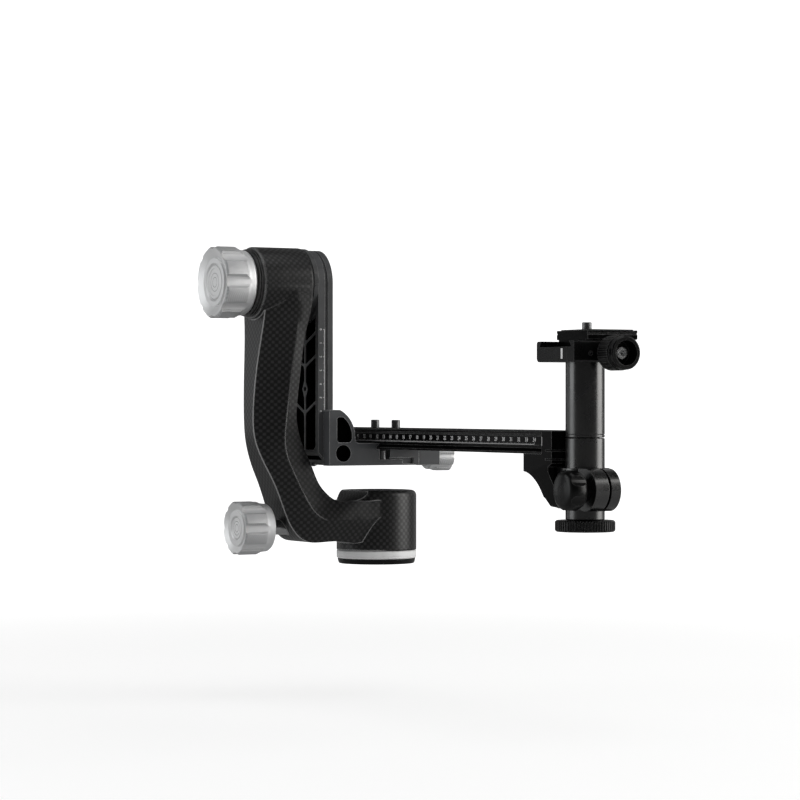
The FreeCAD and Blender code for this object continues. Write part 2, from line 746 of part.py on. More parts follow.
def make_yoke_fittings():
    turned_piece("hub_cap", [
        (0, 0), (s.hub_cap_radius, 0), (s.hub_cap_radius, s.hub_cap_height - 1.0),
        (s.hub_cap_radius - 0.6, s.hub_cap_height - 0.4), (s.hub_cap_radius - 2.5, s.hub_cap_height - 0.4),
        (s.hub_cap_radius - 3.0, s.hub_cap_height - 0.8), (0, s.hub_cap_height - 0.8)], (0, 0, cap_bottom))
    pan_bore = s.spindle_radius + s.run_gap
    bearing("pan_bearing_lower", pan_bore, s.pan_race_radius, (0, 0, race_bottom))
    bearing("pan_bearing_upper", pan_bore, s.pan_race_radius, (0, 0, upper_race_bottom))
    turned_piece("pan_brake_shoe", [
        (0, 0), (s.pan_stud_radius, 0), (s.pan_stud_radius, s.brake_shoe_length - 0.6),
        (s.pan_stud_radius - 0.6, s.brake_shoe_length), (0, s.brake_shoe_length)],
        (-(s.spindle_radius + s.face_gap), 0, s.pan_lock_height), LEFT)
    bush = s.pan_bush_radius
    turned_piece("pan_lock_bush", [
        (s.pan_stud_radius + s.run_gap, 0), (bush, 0), (bush, s.pan_bush_length - 1.5),
        (bush - 0.6, s.pan_bush_length - 0.9), (bush - 0.6, s.pan_bush_length),
        (s.pan_stud_radius + s.run_gap, s.pan_bush_length)],
        (s.pan_bush_length - pan_bush_reach, 0, s.pan_lock_height), LEFT)
    tilt_bore = s.tilt_shaft_radius + s.run_gap
    bearing("tilt_bearing_outer", tilt_bore, s.tilt_race_radius, (outer_race_start, 0, s.tilt_height), RIGHT)
    bearing("tilt_bearing_inner", tilt_bore, s.tilt_race_radius, (inner_race_start, 0, s.tilt_height), RIGHT)
    turned_piece("tilt_brake_disc", [
        (0, 0), (s.brake_disc_radius, 0), (s.brake_disc_radius, s.brake_disc_height),
        (0, s.brake_disc_height)], (brake_start, 0, s.tilt_height), RIGHT)
    rim = s.tilt_collar_radius
    deep = s.tilt_collar_length
    turned_piece("tilt_collar", [
        (s.tilt_stud_radius + s.run_gap, 0), (rim - 0.6, 0), (rim, 0.6), (rim, deep * 0.42),
        (rim - 1.1, deep * 0.52), (rim - 1.1, deep * 0.6), (rim - 0.3, deep * 0.7),
        (rim - 0.3, deep - 0.5), (rim - 0.8, deep), (s.tilt_stud_radius + s.run_gap, deep)],
        (yoke_outer, 0, s.tilt_height), LEFT)


def make_lock_knobs():
    tilt_start = yoke_outer - s.tilt_collar_length - s.face_gap
    at = (tilt_start, 0, s.tilt_height)
    knob("tilt_knob", s.tilt_knob_radius, s.tilt_knob_length, 8, 8.0, 2.3, s.tilt_stud_radius, at, LEFT)
    knob_cap("tilt_knob_cap", s.tilt_knob_radius, s.tilt_knob_length, at, LEFT)
    stud_length = s.tilt_knob_length - s.knob_dish + s.face_gap + s.tilt_collar_length + s.upper_hub_wall
    turned_piece("tilt_lock_stud", [
        (0, 0), (s.tilt_stud_radius - 0.8, 0), (s.tilt_stud_radius, 0.8), (s.tilt_stud_radius, stud_length),
        (0, stud_length)], (yoke_outer + s.upper_hub_wall, 0, s.tilt_height), LEFT)

    at = (-pan_knob_start, 0, s.pan_lock_height)
    knob("pan_knob", s.pan_knob_radius, s.pan_knob_length, 8, 6.6, 1.9, s.pan_stud_radius, at, LEFT, 0.4)
    knob_cap("pan_knob_cap", s.pan_knob_radius, s.pan_knob_length, at, LEFT, 0.4)
    tip = -(s.spindle_radius + s.face_gap * 2 + s.brake_shoe_length)
    collar = pan_knob_start + tip
    full = collar + s.pan_knob_length - s.knob_dish
    step = s.pan_bush_radius - 0.2
    shoulder = pan_bush_reach + tip + s.face_gap
    turned_piece("pan_lock_stud", [
        (0, 0), (s.pan_stud_radius - 0.6, 0), (s.pan_stud_radius, 0.6), (s.pan_stud_radius, shoulder),
        (step, shoulder), (step + 0.8, shoulder + 1.0), (step + 0.8, collar), (s.pan_stud_radius, collar),
        (s.pan_stud_radius, full), (0, full)], (tip, 0, s.pan_lock_height), LEFT)


# ---------------------------------------------------------------- swing arm

arm_outer = yoke_inner + s.arm_gap
arm_inner = arm_outer + s.arm_thickness


def arm_screw_places():
    """The four screws' places round the tilt axis, as pairs (y, z)."""
    angles = [math.radians(45 + 90 * index) for index in range(4)]
    return [(s.arm_screw_circle * math.cos(angle), s.arm_screw_circle * math.sin(angle)) for angle in angles]


def make_swing_arm():
    """A plate with a round head, pockets with a central rib and V struts in its outer face, and a
    groove along each edge. Its own origin is the tilt axis at its outer face."""
    half = s.arm_half_width
    foot = -arm_drop
    corner = 2.5
    arm = body("swing_arm")
    drawing = sketch(arm, "YZ_Plane")
    outline(drawing, [
        (half, 0, half), (0, half, half), (-half, 0), (-half, foot + corner), (corner - half, foot),
        (half - corner, foot), (half, foot + corner)])
    pad(arm, drawing, s.arm_thickness)

    drawing = sketch(arm, "XZ_Plane")
    outline(drawing, [(-1, foot - 1), (s.arm_thickness * 0.66, foot - 1), (s.arm_thickness * 0.66, foot),
                      (0, foot + 9.0), (-1, foot + 9.0)])
    pocket(arm, drawing, half * 4, both=True)

    middle = s.arm_groove_offset
    width = s.arm_groove_width / 2
    drawing = sketch(arm, "XY_Plane")
    for side in (1, -1):
        outline(drawing, [
            (middle - width, (half + 1) * side), (middle - width, half * side),
            (middle - width * 0.4, (half - s.arm_groove_depth) * side),
            (middle + width * 0.4, (half - s.arm_groove_depth) * side),
            (middle + width, half * side), (middle + width, (half + 1) * side)])
    pocket(arm, drawing, arm_drop + 5)

    # the same groove round the head, half a turn about the tilt axis
    drawing = sketch(arm, "XZ_Plane")
    outline(drawing, [
        (middle - width, half + 1), (middle - width, half), (middle - width * 0.4, half - s.arm_groove_depth),
        (middle + width * 0.4, half - s.arm_groove_depth), (middle + width, half), (middle + width, half + 1)])
    turned = arm.newObject("PartDesign::Groove", "swing_arm_head_groove")
    turned.Profile = drawing
    turned.ReferenceAxis = (drawing, ["H_Axis"])
    turned.Angle = 180
    turned.Midplane = True

    side = half - s.arm_rim
    head = s.flange_radius + 3.5
    shoulder = -(s.flange_radius * 0.82)
    base = foot + 10.5
    drawing = sketch(arm, "YZ_Plane")
    outline(drawing, [
        (-side, base + 3), (3 - side, base), (side - 3, base), (side, base + 3),
        (side, shoulder, -head), (-side, shoulder)])
    pocket(arm, drawing, s.arm_pocket_depth, flip=True)

    rib = s.arm_rib / 2
    rise = s.arm_pocket_depth + 0.5 - s.rib_setback
    ribs = sketch(arm, "YZ_Plane", s.rib_setback)
    rectangle(ribs, -rib, base - 1, rib, -(s.flange_radius + 1))
    pad(arm, ribs, rise)
    first = -(s.flange_radius + 17.5)
    pitch = (base - first + 10.6) / -4
    for step in (0, 1, 3):
        node = first - pitch * step
        drawing = sketch(arm, "YZ_Plane", s.rib_setback)
        outline(drawing, [
            (0, node - 4.5), (2.0, node - 0.6), (side + 1, node + 8.6), (side + 1, node + 10.4),
            (2.6, node + 1.6), (0, node + 1.2), (-2.6, node + 1.6), (-side - 1, node + 10.4),
            (-side - 1, node + 8.6), (-2.0, node - 0.6)])
        pad(arm, drawing, rise)
    eye = first - pitch * 2
    drawing = sketch(arm, "YZ_Plane", s.rib_setback)
    outline(drawing, [(0, eye - 8), (4.2, eye), (0, eye + 7), (-4.2, eye)])
    pad(arm, drawing, rise)
    drawing = sketch(arm, "YZ_Plane")
    circle(drawing, 0, eye, 1.9)
    circle(drawing, 0, 0, s.tilt_shaft_radius)
    for across, up in arm_screw_places():
        circle(drawing, across, up, s.arm_screw_radius)
    pocket(arm, drawing, flip=True)
    drawing = sketch(arm, "YZ_Plane", s.arm_thickness)
    for across, up in arm_screw_places():
        circle(drawing, across, up, s.arm_screw_radius + 1.6)
    pocket(arm, drawing, s.arm_screw_sink)
    keep(arm, "swing_arm", (arm_outer, 0, s.tilt_height))

    flange = arm_outer - shaft_end
    turned_piece("tilt_shaft", [
        (0, 0), (s.tilt_shaft_radius - 0.8, 0), (s.tilt_shaft_radius, 0.8),
        (s.tilt_shaft_radius, flange - s.flange_height), (s.flange_radius - 0.5, flange - s.flange_height),
        (s.flange_radius, flange - s.flange_height + 0.5), (s.flange_radius, flange * 1.0),
        (s.tilt_shaft_radius, flange), (s.tilt_shaft_radius, flange + s.arm_thickness - 0.8),
        (s.tilt_shaft_radius - 0.8, flange + s.arm_thickness), (0, flange + s.arm_thickness)],
        (shaft_end, 0, s.tilt_height), RIGHT)
    ring("shaft_clip", s.tilt_shaft_radius, s.tilt_shaft_radius + 2.4, sized(1.6),
         (clip_start, 0, s.tilt_height), RIGHT, 0.3)
    screws = []
    for index, (across, up) in enumerate(arm_screw_places(), start=1):
        at = (arm_inner - s.arm_screw_sink, across, s.tilt_height + up)
        screws.append(screw(f"arm_screw_{index}", s.arm_screw_radius, s.arm_thickness - s.arm_screw_sink,
                            s.arm_screw_radius + 1.5, s.arm_screw_sink - 0.2, at, LEFT))
    group("arm_screws", screws)
    turned_piece("arm_stop_screw", [(0, 0), (2.2, 0), (2.2, 1.4), (1.2, 1.8), (1.2, 2.0), (0, 2.0)],
                 (arm_inner - 3.0, 0, arm_bottom), DOWN)


# ---------------------------------------------------------------- cradle

lip_outer = arm_inner - s.slider_lip
back_inner = arm_inner + s.slide_gap
back_outer = arm_inner + s.slider_back
dovetail_top = rail_bottom + s.dovetail_foot + s.dovetail_depth
bed_top = rail_bottom - s.slide_gap
jaw_start = s.bed_inner_edge + s.face_gap
jaw_end = jaw_start + s.jaw_width
lock_x = arm_inner - 2.3
height_lock_z = cradle_bottom + s.height_lock_rise
clamp_axis_z = cradle_bottom + s.clamp_axis_rise


def make_cradle():
    """Slider, gusset and clamp bed as one profile along Y, then the arm's channel, the blind
    windows in its near end and the seats of the pins are cut."""
    half = s.cradle_half_length
    cradle = body("cradle")
    gap = s.slide_gap
    foot = s.rail_half_width
    neck = foot - s.dovetail_depth
    shoulder = back_outer + 7.4
    drawing = sketch(cradle, "XZ_Plane")
    outline(drawing, [
        (lip_outer, cradle_bottom), (s.bed_inner_edge, cradle_bottom), (s.bed_inner_edge, bed_top),
        (-foot - gap, bed_top), (-foot - gap, rail_bottom + s.dovetail_foot),
        (-neck - gap, dovetail_top), (-neck - gap, dovetail_top + 0.2),
        (-neck - 2.0, dovetail_top + 0.6), (shoulder + 3.4, dovetail_top + 0.6, -3.4),
        (shoulder, dovetail_top + 4.0), (shoulder, slider_top - 19, s.gusset_round),
        (arm_inner + 0.6, slider_top), (lip_outer + 0.8, slider_top), (lip_outer, slider_top - 0.8)])
    pad(cradle, drawing, half * 2, both=True)

    channel = s.arm_half_width + gap
    ridge = s.arm_groove_offset - s.arm_thickness
    drawing = sketch(cradle, "XY_Plane", cradle_bottom - 1)
    narrow = s.arm_groove_width * 0.2
    wide = s.arm_groove_width * 0.36
    tooth = s.arm_groove_depth * 0.6
    outline(drawing, [
        (lip_outer - 1, -channel), (arm_inner + ridge - wide, -channel),
        (arm_inner + ridge - narrow, tooth - channel), (arm_inner + ridge + narrow, tooth - channel),
        (arm_inner + ridge + wide, -channel), (back_inner, -channel), (back_inner, channel),
        (arm_inner + ridge + wide, channel), (arm_inner + ridge + narrow, channel - tooth),
        (arm_inner + ridge - narrow, channel - tooth), (arm_inner + ridge - wide, channel),
        (lip_outer - 1, channel)])
    pocket(cradle, drawing, slider_top, flip=True)

    # the near end's D window and round window, blind
    drawing = sketch(cradle, "XZ_Plane", half)
    left = arm_inner - 1.8
    low = cradle_bottom + s.window_rise
    high = slider_top - s.window_margin
    outline(drawing, [
        (left, low + 1.5), (left + 1.5, low), (shoulder - 4.4, low), (shoulder - 2.6, low + 2.0),
        (shoulder - 2.6, low + 6.5, s.gusset_round - 4), (left + 5.2, high), (left + 1.5, high),
        (left, high - 1.5)])
    circle(drawing, arm_inner + 3.5, cradle_bottom + 9, 6.2)
    pocket(cradle, drawing, half - s.arm_half_width - 2)

    # the two recesses at the near edge of the bed
    drawing = sketch(cradle, "XZ_Plane", half)
    sill = cradle_bottom + s.recess_rise
    side = s.safety_pin_radius + 1.4
    edge = side - s.safety_pin_place
    rectangle(drawing, -side - s.safety_pin_place, sill, edge, dovetail_top + 2)
    pocket(cradle, drawing, s.safety_pin_inset + 0.4)
    drawing = sketch(cradle, "XZ_Plane", half)
    rectangle(drawing, edge, sill, s.bed_inner_edge - 4.6, sill + 1.4)
    pocket(cradle, drawing, 2.0)
    drawing = sketch(cradle, "XZ_Plane", half)
    rectangle(drawing, s.bed_inner_edge - 13.8, cradle_bottom + 1.0, s.bed_inner_edge - 4.6, sill)
    pocket(cradle, drawing, 2.0)
    drawing = sketch(cradle, "XY_Plane", cradle_bottom - 1)
    circle(drawing, -s.safety_pin_place, s.safety_pin_inset - half, s.safety_pin_radius + s.run_gap)
    pocket(cradle, drawing, s.bed_height + s.dovetail_foot + s.dovetail_depth + 4, flip=True)

    # clamp screw and the guide pins of the moving jaw, along X from the bed's end
    drawing = sketch(cradle, "YZ_Plane", s.bed_inner_edge)
    circle(drawing, 0, clamp_axis_z, s.clamp_screw_radius + s.run_gap)
    pocket(cradle, drawing, s.clamp_screw_depth + 5.5)
    drawing = sketch(cradle, "YZ_Plane", s.bed_inner_edge)
    for side in (1, -1):
        circle(drawing, s.guide_spacing * side, clamp_axis_z, s.guide_radius)
    pocket(cradle, drawing, s.guide_depth)
    drawing = sketch(cradle, "YZ_Plane", s.bed_inner_edge)
    circle(drawing, 0, clamp_axis_z, s.clamp_screw_radius + 2.2)
    pocket(cradle, drawing, s.spring_depth)

    # height lock through the far lip
    drawing = sketch(cradle, "XZ_Plane", -half)
    circle(drawing, lock_x, height_lock_z, s.height_stud_radius + s.run_gap)
    pocket(cradle, drawing, half - s.arm_half_width, flip=True)
    keep(cradle, "cradle")

    gib = s.height_stud_radius
    reach = half - s.arm_half_width
    turned_piece("height_gib", [(0, 0), (gib - 0.7, 0), (gib - 0.7, 2.0), (0, 2.0)],
                 (lock_x + 0.4, s.arm_half_width + s.slide_gap, height_lock_z), FAR)
    clear = 2.4
    stud = reach + s.height_knob_length - s.knob_dish + s.height_knob_gap - clear
    turned_piece("height_lock_stud", [
        (0, 0), (gib - 0.5, 0), (gib, 0.5), (gib, stud), (0, stud)],
        (lock_x, s.arm_half_width + clear, height_lock_z), FAR)
    at = (lock_x, half + s.height_knob_gap, height_lock_z)
    knob("height_knob", s.height_knob_radius, s.height_knob_length, 8, 4.6, 1.4, gib, at, FAR)

    guides = []
    for side in (1, -1):
        pin = body(f"jaw_guide_{side}")
        length = s.guide_depth + s.face_gap + s.jaw_width - 2
        revolve(pin, [(0, 0), (s.guide_radius, 0), (s.guide_radius, length - 0.6),
                      (s.guide_radius - 0.6, length), (0, length)])
        place(pin, (s.bed_inner_edge - s.guide_depth, s.guide_spacing * side, clamp_axis_z), RIGHT)
        guides.append(pin)
    group("jaw_guides", guides)


def make_jaw_spring():
    """Flat-ended coil round the clamp screw, shut in the bed's counterbore."""
    wire = 0.55
    radius = float(s.clamp_screw_radius) + 1.15
    length = float(s.spring_depth) + float(s.face_gap) - 2 * wire - 0.2
    helix = Part.makeHelix(length / 4, length, radius)
    profile = Part.makePolygon([
        Vector(radius - wire, 0, -wire), Vector(radius + wire, 0, -wire),
        Vector(radius + wire, 0, wire), Vector(radius - wire, 0, wire), Vector(radius - wire, 0, -wire)])
    coil = Part.Wire(helix).makePipeShell([profile], True, True)
    feature("jaw_spring", coil, (s.bed_inner_edge - s.spring_depth + wire, 0, clamp_axis_z), RIGHT)


def make_safety_pin():
    low = cradle_bottom + s.recess_rise - 2.6
    height = rail_bottom - s.face_gap - low - s.safety_pin_travel
    radius = s.safety_pin_radius
    turned_piece("safety_pin", [
        (0, 0), (radius, 0), (radius, height - 1), (radius - 1, height), (0, height)],
        (-s.safety_pin_place, s.safety_pin_inset - s.cradle_half_length, low + s.safety_pin_travel))


def make_clamp_jaw():
    half = s.cradle_half_length
    gap = s.slide_gap
    foot = s.rail_half_width + gap
    neck = foot - s.dovetail_depth
    jaw = body("clamp_jaw")
    drawing = sketch(jaw, "XZ_Plane")
    outline(drawing, [
        (jaw_start, cradle_bottom), (jaw_end, cradle_bottom), (jaw_end, dovetail_top - 0.6),
        (jaw_end - 1.2, dovetail_top + 0.6), (neck + 1.4, dovetail_top + 0.6), (neck, dovetail_top + 0.1),
        (neck, dovetail_top), (foot, rail_bottom + s.dovetail_foot), (foot, bed_top),
        (jaw_start, bed_top)])
    pad(jaw, drawing, half * 2, both=True)
    drawing = sketch(jaw, "YZ_Plane", jaw_start)
    circle(drawing, 0, clamp_axis_z, s.clamp_screw_radius + s.run_gap)
    for side in (1, -1):
        circle(drawing, s.guide_spacing * side, clamp_axis_z, s.guide_radius + s.run_gap)
    pocket(jaw, drawing, s.jaw_width, flip=True)
    keep(jaw, "clamp_jaw")

    at = (jaw_end + s.clamp_knob_gap, 0, clamp_axis_z)
    knob("clamp_knob", s.clamp_knob_radius, s.clamp_knob_length, 8, 3.6, 1.2, s.clamp_screw_radius, at, RIGHT)
    start = s.bed_inner_edge - s.clamp_screw_depth
    collar = jaw_end + s.face_gap - start
    stand = collar - s.face_gap + s.clamp_knob_gap
    end = stand + s.clamp_knob_length - s.knob_dish
    radius = s.clamp_screw_radius
    turned_piece("clamp_screw", [
        (0, 0), (radius - 0.8, 0), (radius, 0.8), (radius, collar), (radius + 3.2, collar),
        (radius + 3.2, stand), (radius, stand), (radius, end),
        (0, end)], (start, 0, clamp_axis_z), RIGHT)


# ---------------------------------------------------------------- lens rail

rail_screw_x = 7.0
rail_screw_y = rail_end + 15.5
rail_screw_seat = rail_bottom - 6
rail_screw_depth = 6.0


def make_rail():
    foot = s.rail_half_width
    neck = foot - s.dovetail_depth
    low = rail_bottom
    skirt = low + s.dovetail_height
    groove = 0.8
    rail = body("lens_rail")
    right = [
        (foot, low), (foot, low + s.dovetail_foot), (neck, dovetail_top), (neck, skirt), (foot, skirt + 0.4),
        (foot, rail_top - 3.6), (foot - groove, rail_top - 3.2), (foot - groove, rail_top - 2.6),
        (foot, rail_top - 2.2), (foot, rail_top - 0.8), (foot - 0.8, rail_top)]
    left = [(-u, v) for u, v in reversed(right)]
    drawing = sketch(rail, "XZ_Plane")
    outline(drawing, right + left)
    pad(rail, drawing, s.rail_length)

    # the slot in the top and the wider track under it, their round ends about the same centres
    front = -s.rail_slot_front - s.rail_slot_width / 2
    back = s.rail_slot_back - s.rail_length + s.rail_slot_width / 2
    for half, low_cut, high_cut in (
            (s.rail_slot_width / 2, low - 1, rail_top + 1),
            (s.rail_slot_under / 2, low - 1, low + s.rail_slot_depth)):
        drawing = sketch(rail, "XY_Plane", low_cut)
        outline(drawing, [(half, back), (half, front, half), (-half, front), (-half, back, half)])
        pocket(rail, drawing, high_cut - low_cut, flip=True)
    # shallow channel along the top face
    drawing = sketch(rail, "XZ_Plane")
    rectangle(drawing, -s.rail_channel_half, rail_top - 0.6, s.rail_channel_half, rail_top + 1)
    pocket(rail, drawing, s.rail_length, flip=True)
    drawing = sketch(rail, "XY_Plane", low)
    for side in (1, -1):
        circle(drawing, rail_screw_x * side, rail_screw_y - s.rail_front, s.bracket_screw_radius + s.slide_gap)
    pocket(rail, drawing, rail_screw_depth + 0.5, flip=True)
    keep(rail, "lens_rail", (0, s.rail_front, 0))

    screws = []
    for side in (0, 1):
        at = (0, s.lens_screw_place - s.lens_screw_spacing * side, low + s.rail_slot_depth)
        inside = s.rail_height - s.rail_slot_depth
        screws.append(screw(f"lens_screw_{side}", s.lens_screw_radius, inside + s.lens_screw_reach,
                            6.6, 4.0, at, neck=inside + 0.2))
    group("lens_screws", screws)
    stops = []
    for side in (1, -1):
        stop = body(f"rail_stop_{side}")
        radius = s.stop_screw_radius
        high = s.stop_screw_height
        revolve(stop, [(0, -high), (radius - 0.4, -high), (radius, 0.4 - high), (radius, 0), (0, 0)])
        place(stop, (s.stop_screw_side * side, s.front_stop_offset, low))
        stops.append(stop)
    group("rail_stop_screws", stops)


# ---------------------------------------------------------------- bracket and collar

bracket_front = -(post_offset - s.post_radius - s.collar_wall)
upper_front = -(post_offset - s.post_radius + 1.5)
collar_screw_x = 6.5
collar_screw_z = collar_bottom + 19
collar_screw_seat = bracket_front + 10


def make_bracket():
    """A gusset under the rail's end that tapers down to the collar."""
    wide = s.rail_half_width
    bracket = body("end_bracket")
    under = rail_bottom - 0.02
    collar_top = collar_bottom + s.collar_height
    back = rail_end + s.gusset_reach
    sweep = s.gusset_sweep
    swept = back - sweep
    shoulder = collar_bottom + s.gusset_rise
    drawing = sketch(bracket, "YZ_Plane")
    outline(drawing, [
        (back, under), (back, shoulder, sweep), (swept, shoulder - sweep),
        (swept, collar_bottom + 7), (back - s.gusset_toe, collar_bottom + 1), (bracket_front, collar_bottom),
        (bracket_front, collar_top + 0.6), (upper_front, collar_top + 3), (upper_front, rail_top),
        (rail_end - 0.1, rail_top), (rail_end - 0.1, under)])
    pad(bracket, drawing, wide * 2, both=True)
    # sides draw in below the rail
    foot = wide - s.gusset_taper
    for side in (1, -1):
        drawing = sketch(bracket, "XZ_Plane")
        outline(drawing, [
            ((wide + 1) * side, shoulder), (wide * side, shoulder), (foot * side, collar_bottom + 6),
            (foot * side, collar_bottom - 1), ((wide + 1) * side, collar_bottom - 1)])
        pocket(bracket, drawing, post_offset * 2, both=True)
    # relief slits above the collar
    drawing = sketch(bracket, "YZ_Plane")
    for rise in (5.2, 11.0):
        low = collar_top + rise
        rectangle(drawing, upper_front - 1, low, upper_front + s.relief_slit_depth, low + s.relief_slit)
    pocket(bracket, drawing, wide * 4, both=True)
    # hollow round the post
    drawing = sketch(bracket, "XY_Plane", collar_bottom - 1)
    circle(drawing, 0, -post_offset, s.post_radius + 0.6)
    pocket(bracket, drawing, rail_top - collar_bottom + 2, flip=True)
    # seats and holes of the four screws
    head = s.bracket_screw_head + s.slide_gap
    hole = s.bracket_screw_radius + s.slide_gap
    for radius, high in ((head, rail_screw_seat), (hole, rail_bottom + 1)):
        drawing = sketch(bracket, "XY_Plane", collar_bottom - 1)
        for side in (1, -1):
            circle(drawing, rail_screw_x * side, rail_screw_y, radius)
        pocket(bracket, drawing, high - collar_bottom + 1, flip=True)
    plane = back + 7
    for radius, deep in ((head, -collar_screw_seat), (hole, -bracket_front + 1)):
        drawing = sketch(bracket, "XZ_Plane", -plane)
        for side in (1, -1):
            circle(drawing, collar_screw_x * side, collar_screw_z, radius)
        pocket(bracket, drawing, deep + plane, flip=True)
    keep(bracket, "end_bracket")

    screws = []
    for side in (1, -1):
        at = (rail_screw_x * side, rail_screw_y, rail_screw_seat)
        length = rail_bottom - rail_screw_seat + rail_screw_depth
        screws.append(screw(f"rail_screw_{side}", s.bracket_screw_radius, length,
                            s.bracket_screw_head, 3.0, at))
        at = (collar_screw_x * side, collar_screw_seat, collar_screw_z)
        length = collar_screw_seat - bracket_front + 3.4
        screws.append(screw(f"collar_bolt_{side}", s.bracket_screw_radius, length,
                            s.bracket_screw_head, 3.0, at, NEAR))
    group("bracket_screws", screws)


def make_collar():
    """A split collar round the post: a block towards the bracket and two round ears in front."""
    outer = s.post_radius + s.collar_wall
    tall = s.collar_height
    collar = body("post_collar")
    drawing = sketch(collar, "XY_Plane")
    circle(drawing, 0, 0, outer)
    pad(collar, drawing, tall)
    drawing = sketch(collar, "XY_Plane")
    rectangle(drawing, -s.collar_block_half, 0, s.collar_block_half, outer)
    pad(collar, drawing, tall)
    drawing = sketch(collar, "YZ_Plane", s.ear_start)
    middle = s.ear_height
    circle(drawing, -s.ear_offset, middle, s.ear_radius)
    pad(collar, drawing, s.ear_end - s.ear_start)
    drawing = sketch(collar, "YZ_Plane", s.ear_start)
    rectangle(drawing, -s.ear_offset, 0, 0, middle + s.ear_radius)
    pad(collar, drawing, s.ear_end - s.ear_start)
    drawing = sketch(collar, "XY_Plane", -s.ear_radius)
    circle(drawing, 0, 0, s.post_radius + s.run_gap)
    pocket(collar, drawing, tall + s.ear_radius, flip=True)
    slit = s.ear_slit / 2
    drawing = sketch(collar, "XZ_Plane")
    rectangle(drawing, s.ear_slit_place - slit, -s.ear_radius, s.ear_slit_place + slit, tall + 5)
    pocket(collar, drawing, s.ear_offset * 2, flip=True)
    drawing = sketch(collar, "YZ_Plane", s.ear_start - 1)
    circle(drawing, -s.ear_offset, middle, s.collar_screw_radius + s.run_gap)
    pocket(collar, drawing, s.ear_end - s.ear_start + 2, flip=True)
    drawing = sketch(collar, "XZ_Plane", -1 - outer)
    for side in (1, -1):
        circle(drawing, collar_screw_x * side, collar_screw_z - collar_bottom,
               s.bracket_screw_radius + s.slide_gap)
    pocket(collar, drawing, 8, flip=True)
    keep(collar, "post_collar", (0, -post_offset, collar_bottom))

    lock_z = collar_bottom + middle
    lock_y = -(post_offset + s.ear_offset)
    at = (s.ear_start - s.face_gap, lock_y, lock_z)
    radius = s.collar_screw_radius
    bore_depth = s.collar_knob_length - s.knob_dish * 2
    domed_knob("collar_knob", s.collar_knob_radius, s.collar_knob_length, 6, 7.0, 1.6, radius, bore_depth,
               4.4, 7.4, at, LEFT)
    grip = s.ear_end - s.ear_start + s.face_gap + bore_depth
    turned_piece("collar_screw", [
        (0, 0), (radius - 0.6, 0), (radius, 0.6), (radius, grip), (0, grip)],
        (s.ear_end, lock_y, lock_z), LEFT)


# ---------------------------------------------------------------- post

def make_post():
    at = (0, -post_offset, sleeve_bottom)
    tall = sleeve_top - sleeve_bottom
    bore = s.spigot_radius + s.run_gap
    turned_piece("post_sleeve", [
        (s.lead_screw_radius + s.run_gap, 0), (s.post_radius - 0.6, 0), (s.post_radius, 0.6),
        (s.post_radius, tall - 0.5), (s.post_radius - 0.5, tall), (bore, tall), (bore, s.sleeve_floor),
        (s.lead_screw_radius + s.run_gap, s.sleeve_floor)], at)

    wheel = body("height_wheel")
    top = s.wheel_height
    revolve(wheel, [
        (s.lead_screw_radius, 0), (s.wheel_radius * 0.5, 0), (s.wheel_radius * 0.55, 0.8),
        (s.wheel_radius * 0.8, 0.8), (s.wheel_radius * 0.85, 0), (s.wheel_radius - 1.0, 0),
        (s.wheel_radius, 1.0), (s.wheel_radius, top - 1.0), (s.wheel_radius - 1.0, top),
        (s.lead_screw_radius, top)])
    drawing = sketch(wheel, "XY_Plane")
    root = s.wheel_radius - 0.9
    tip = s.wheel_radius + 0.3
    outline(drawing, [(root, 0), (tip, 0.75), (tip, -0.75)])
    tooth = pocket(wheel, drawing, top, flip=True)
    around(wheel, tooth, drawing, s.wheel_teeth)
    wheel_bottom = sleeve_bottom - s.face_gap - s.wheel_height
    keep(wheel, "height_wheel", (0, -post_offset, wheel_bottom))

    radius = s.lead_screw_radius
    length = s.lead_screw_length
    turned_piece("lead_screw", [
        (0, 0), (radius, 0), (radius, length - 1), (radius - 1, length), (0, length)],
        (0, -post_offset, wheel_bottom))
    ring("screw_clip", radius, radius + 3.0, sized(2.0),
         (0, -post_offset, sleeve_bottom + s.sleeve_floor + s.face_gap), UP, 0.3)

    tube = s.tube_length
    stem = s.spigot_length
    turned_piece("post_tube", [
        (radius + s.run_gap, -stem), (s.spigot_radius, -stem), (s.spigot_radius, 0), (s.post_radius - 0.5, 0),
        (s.post_radius, 0.5), (s.post_radius, 1.6), (s.post_radius - 0.4, 2.0), (s.post_radius, 2.4),
        (s.post_radius, tube), (2.5, tube), (2.5, tube - 14), (0, tube - 14), (0, tube - 22),
        (radius + s.run_gap, tube - 22)], (0, -post_offset, tube_bottom))


# ---------------------------------------------------------------- camera clamp and plate

clamp_low = tube_top
camera_bed = clamp_low + s.camera_bed_height
camera_neck = camera_bed + s.dovetail_foot + s.dovetail_depth
camera_rear = s.rail_half_width + s.camera_jaw_wall - camera_clamp_offset
camera_front = -(camera_clamp_offset + s.rail_half_width + s.camera_jaw_wall)
camera_seam = camera_front + s.camera_jaw_depth
camera_axis_z = clamp_low + s.camera_screw_axis
camera_axis_x = 4.3


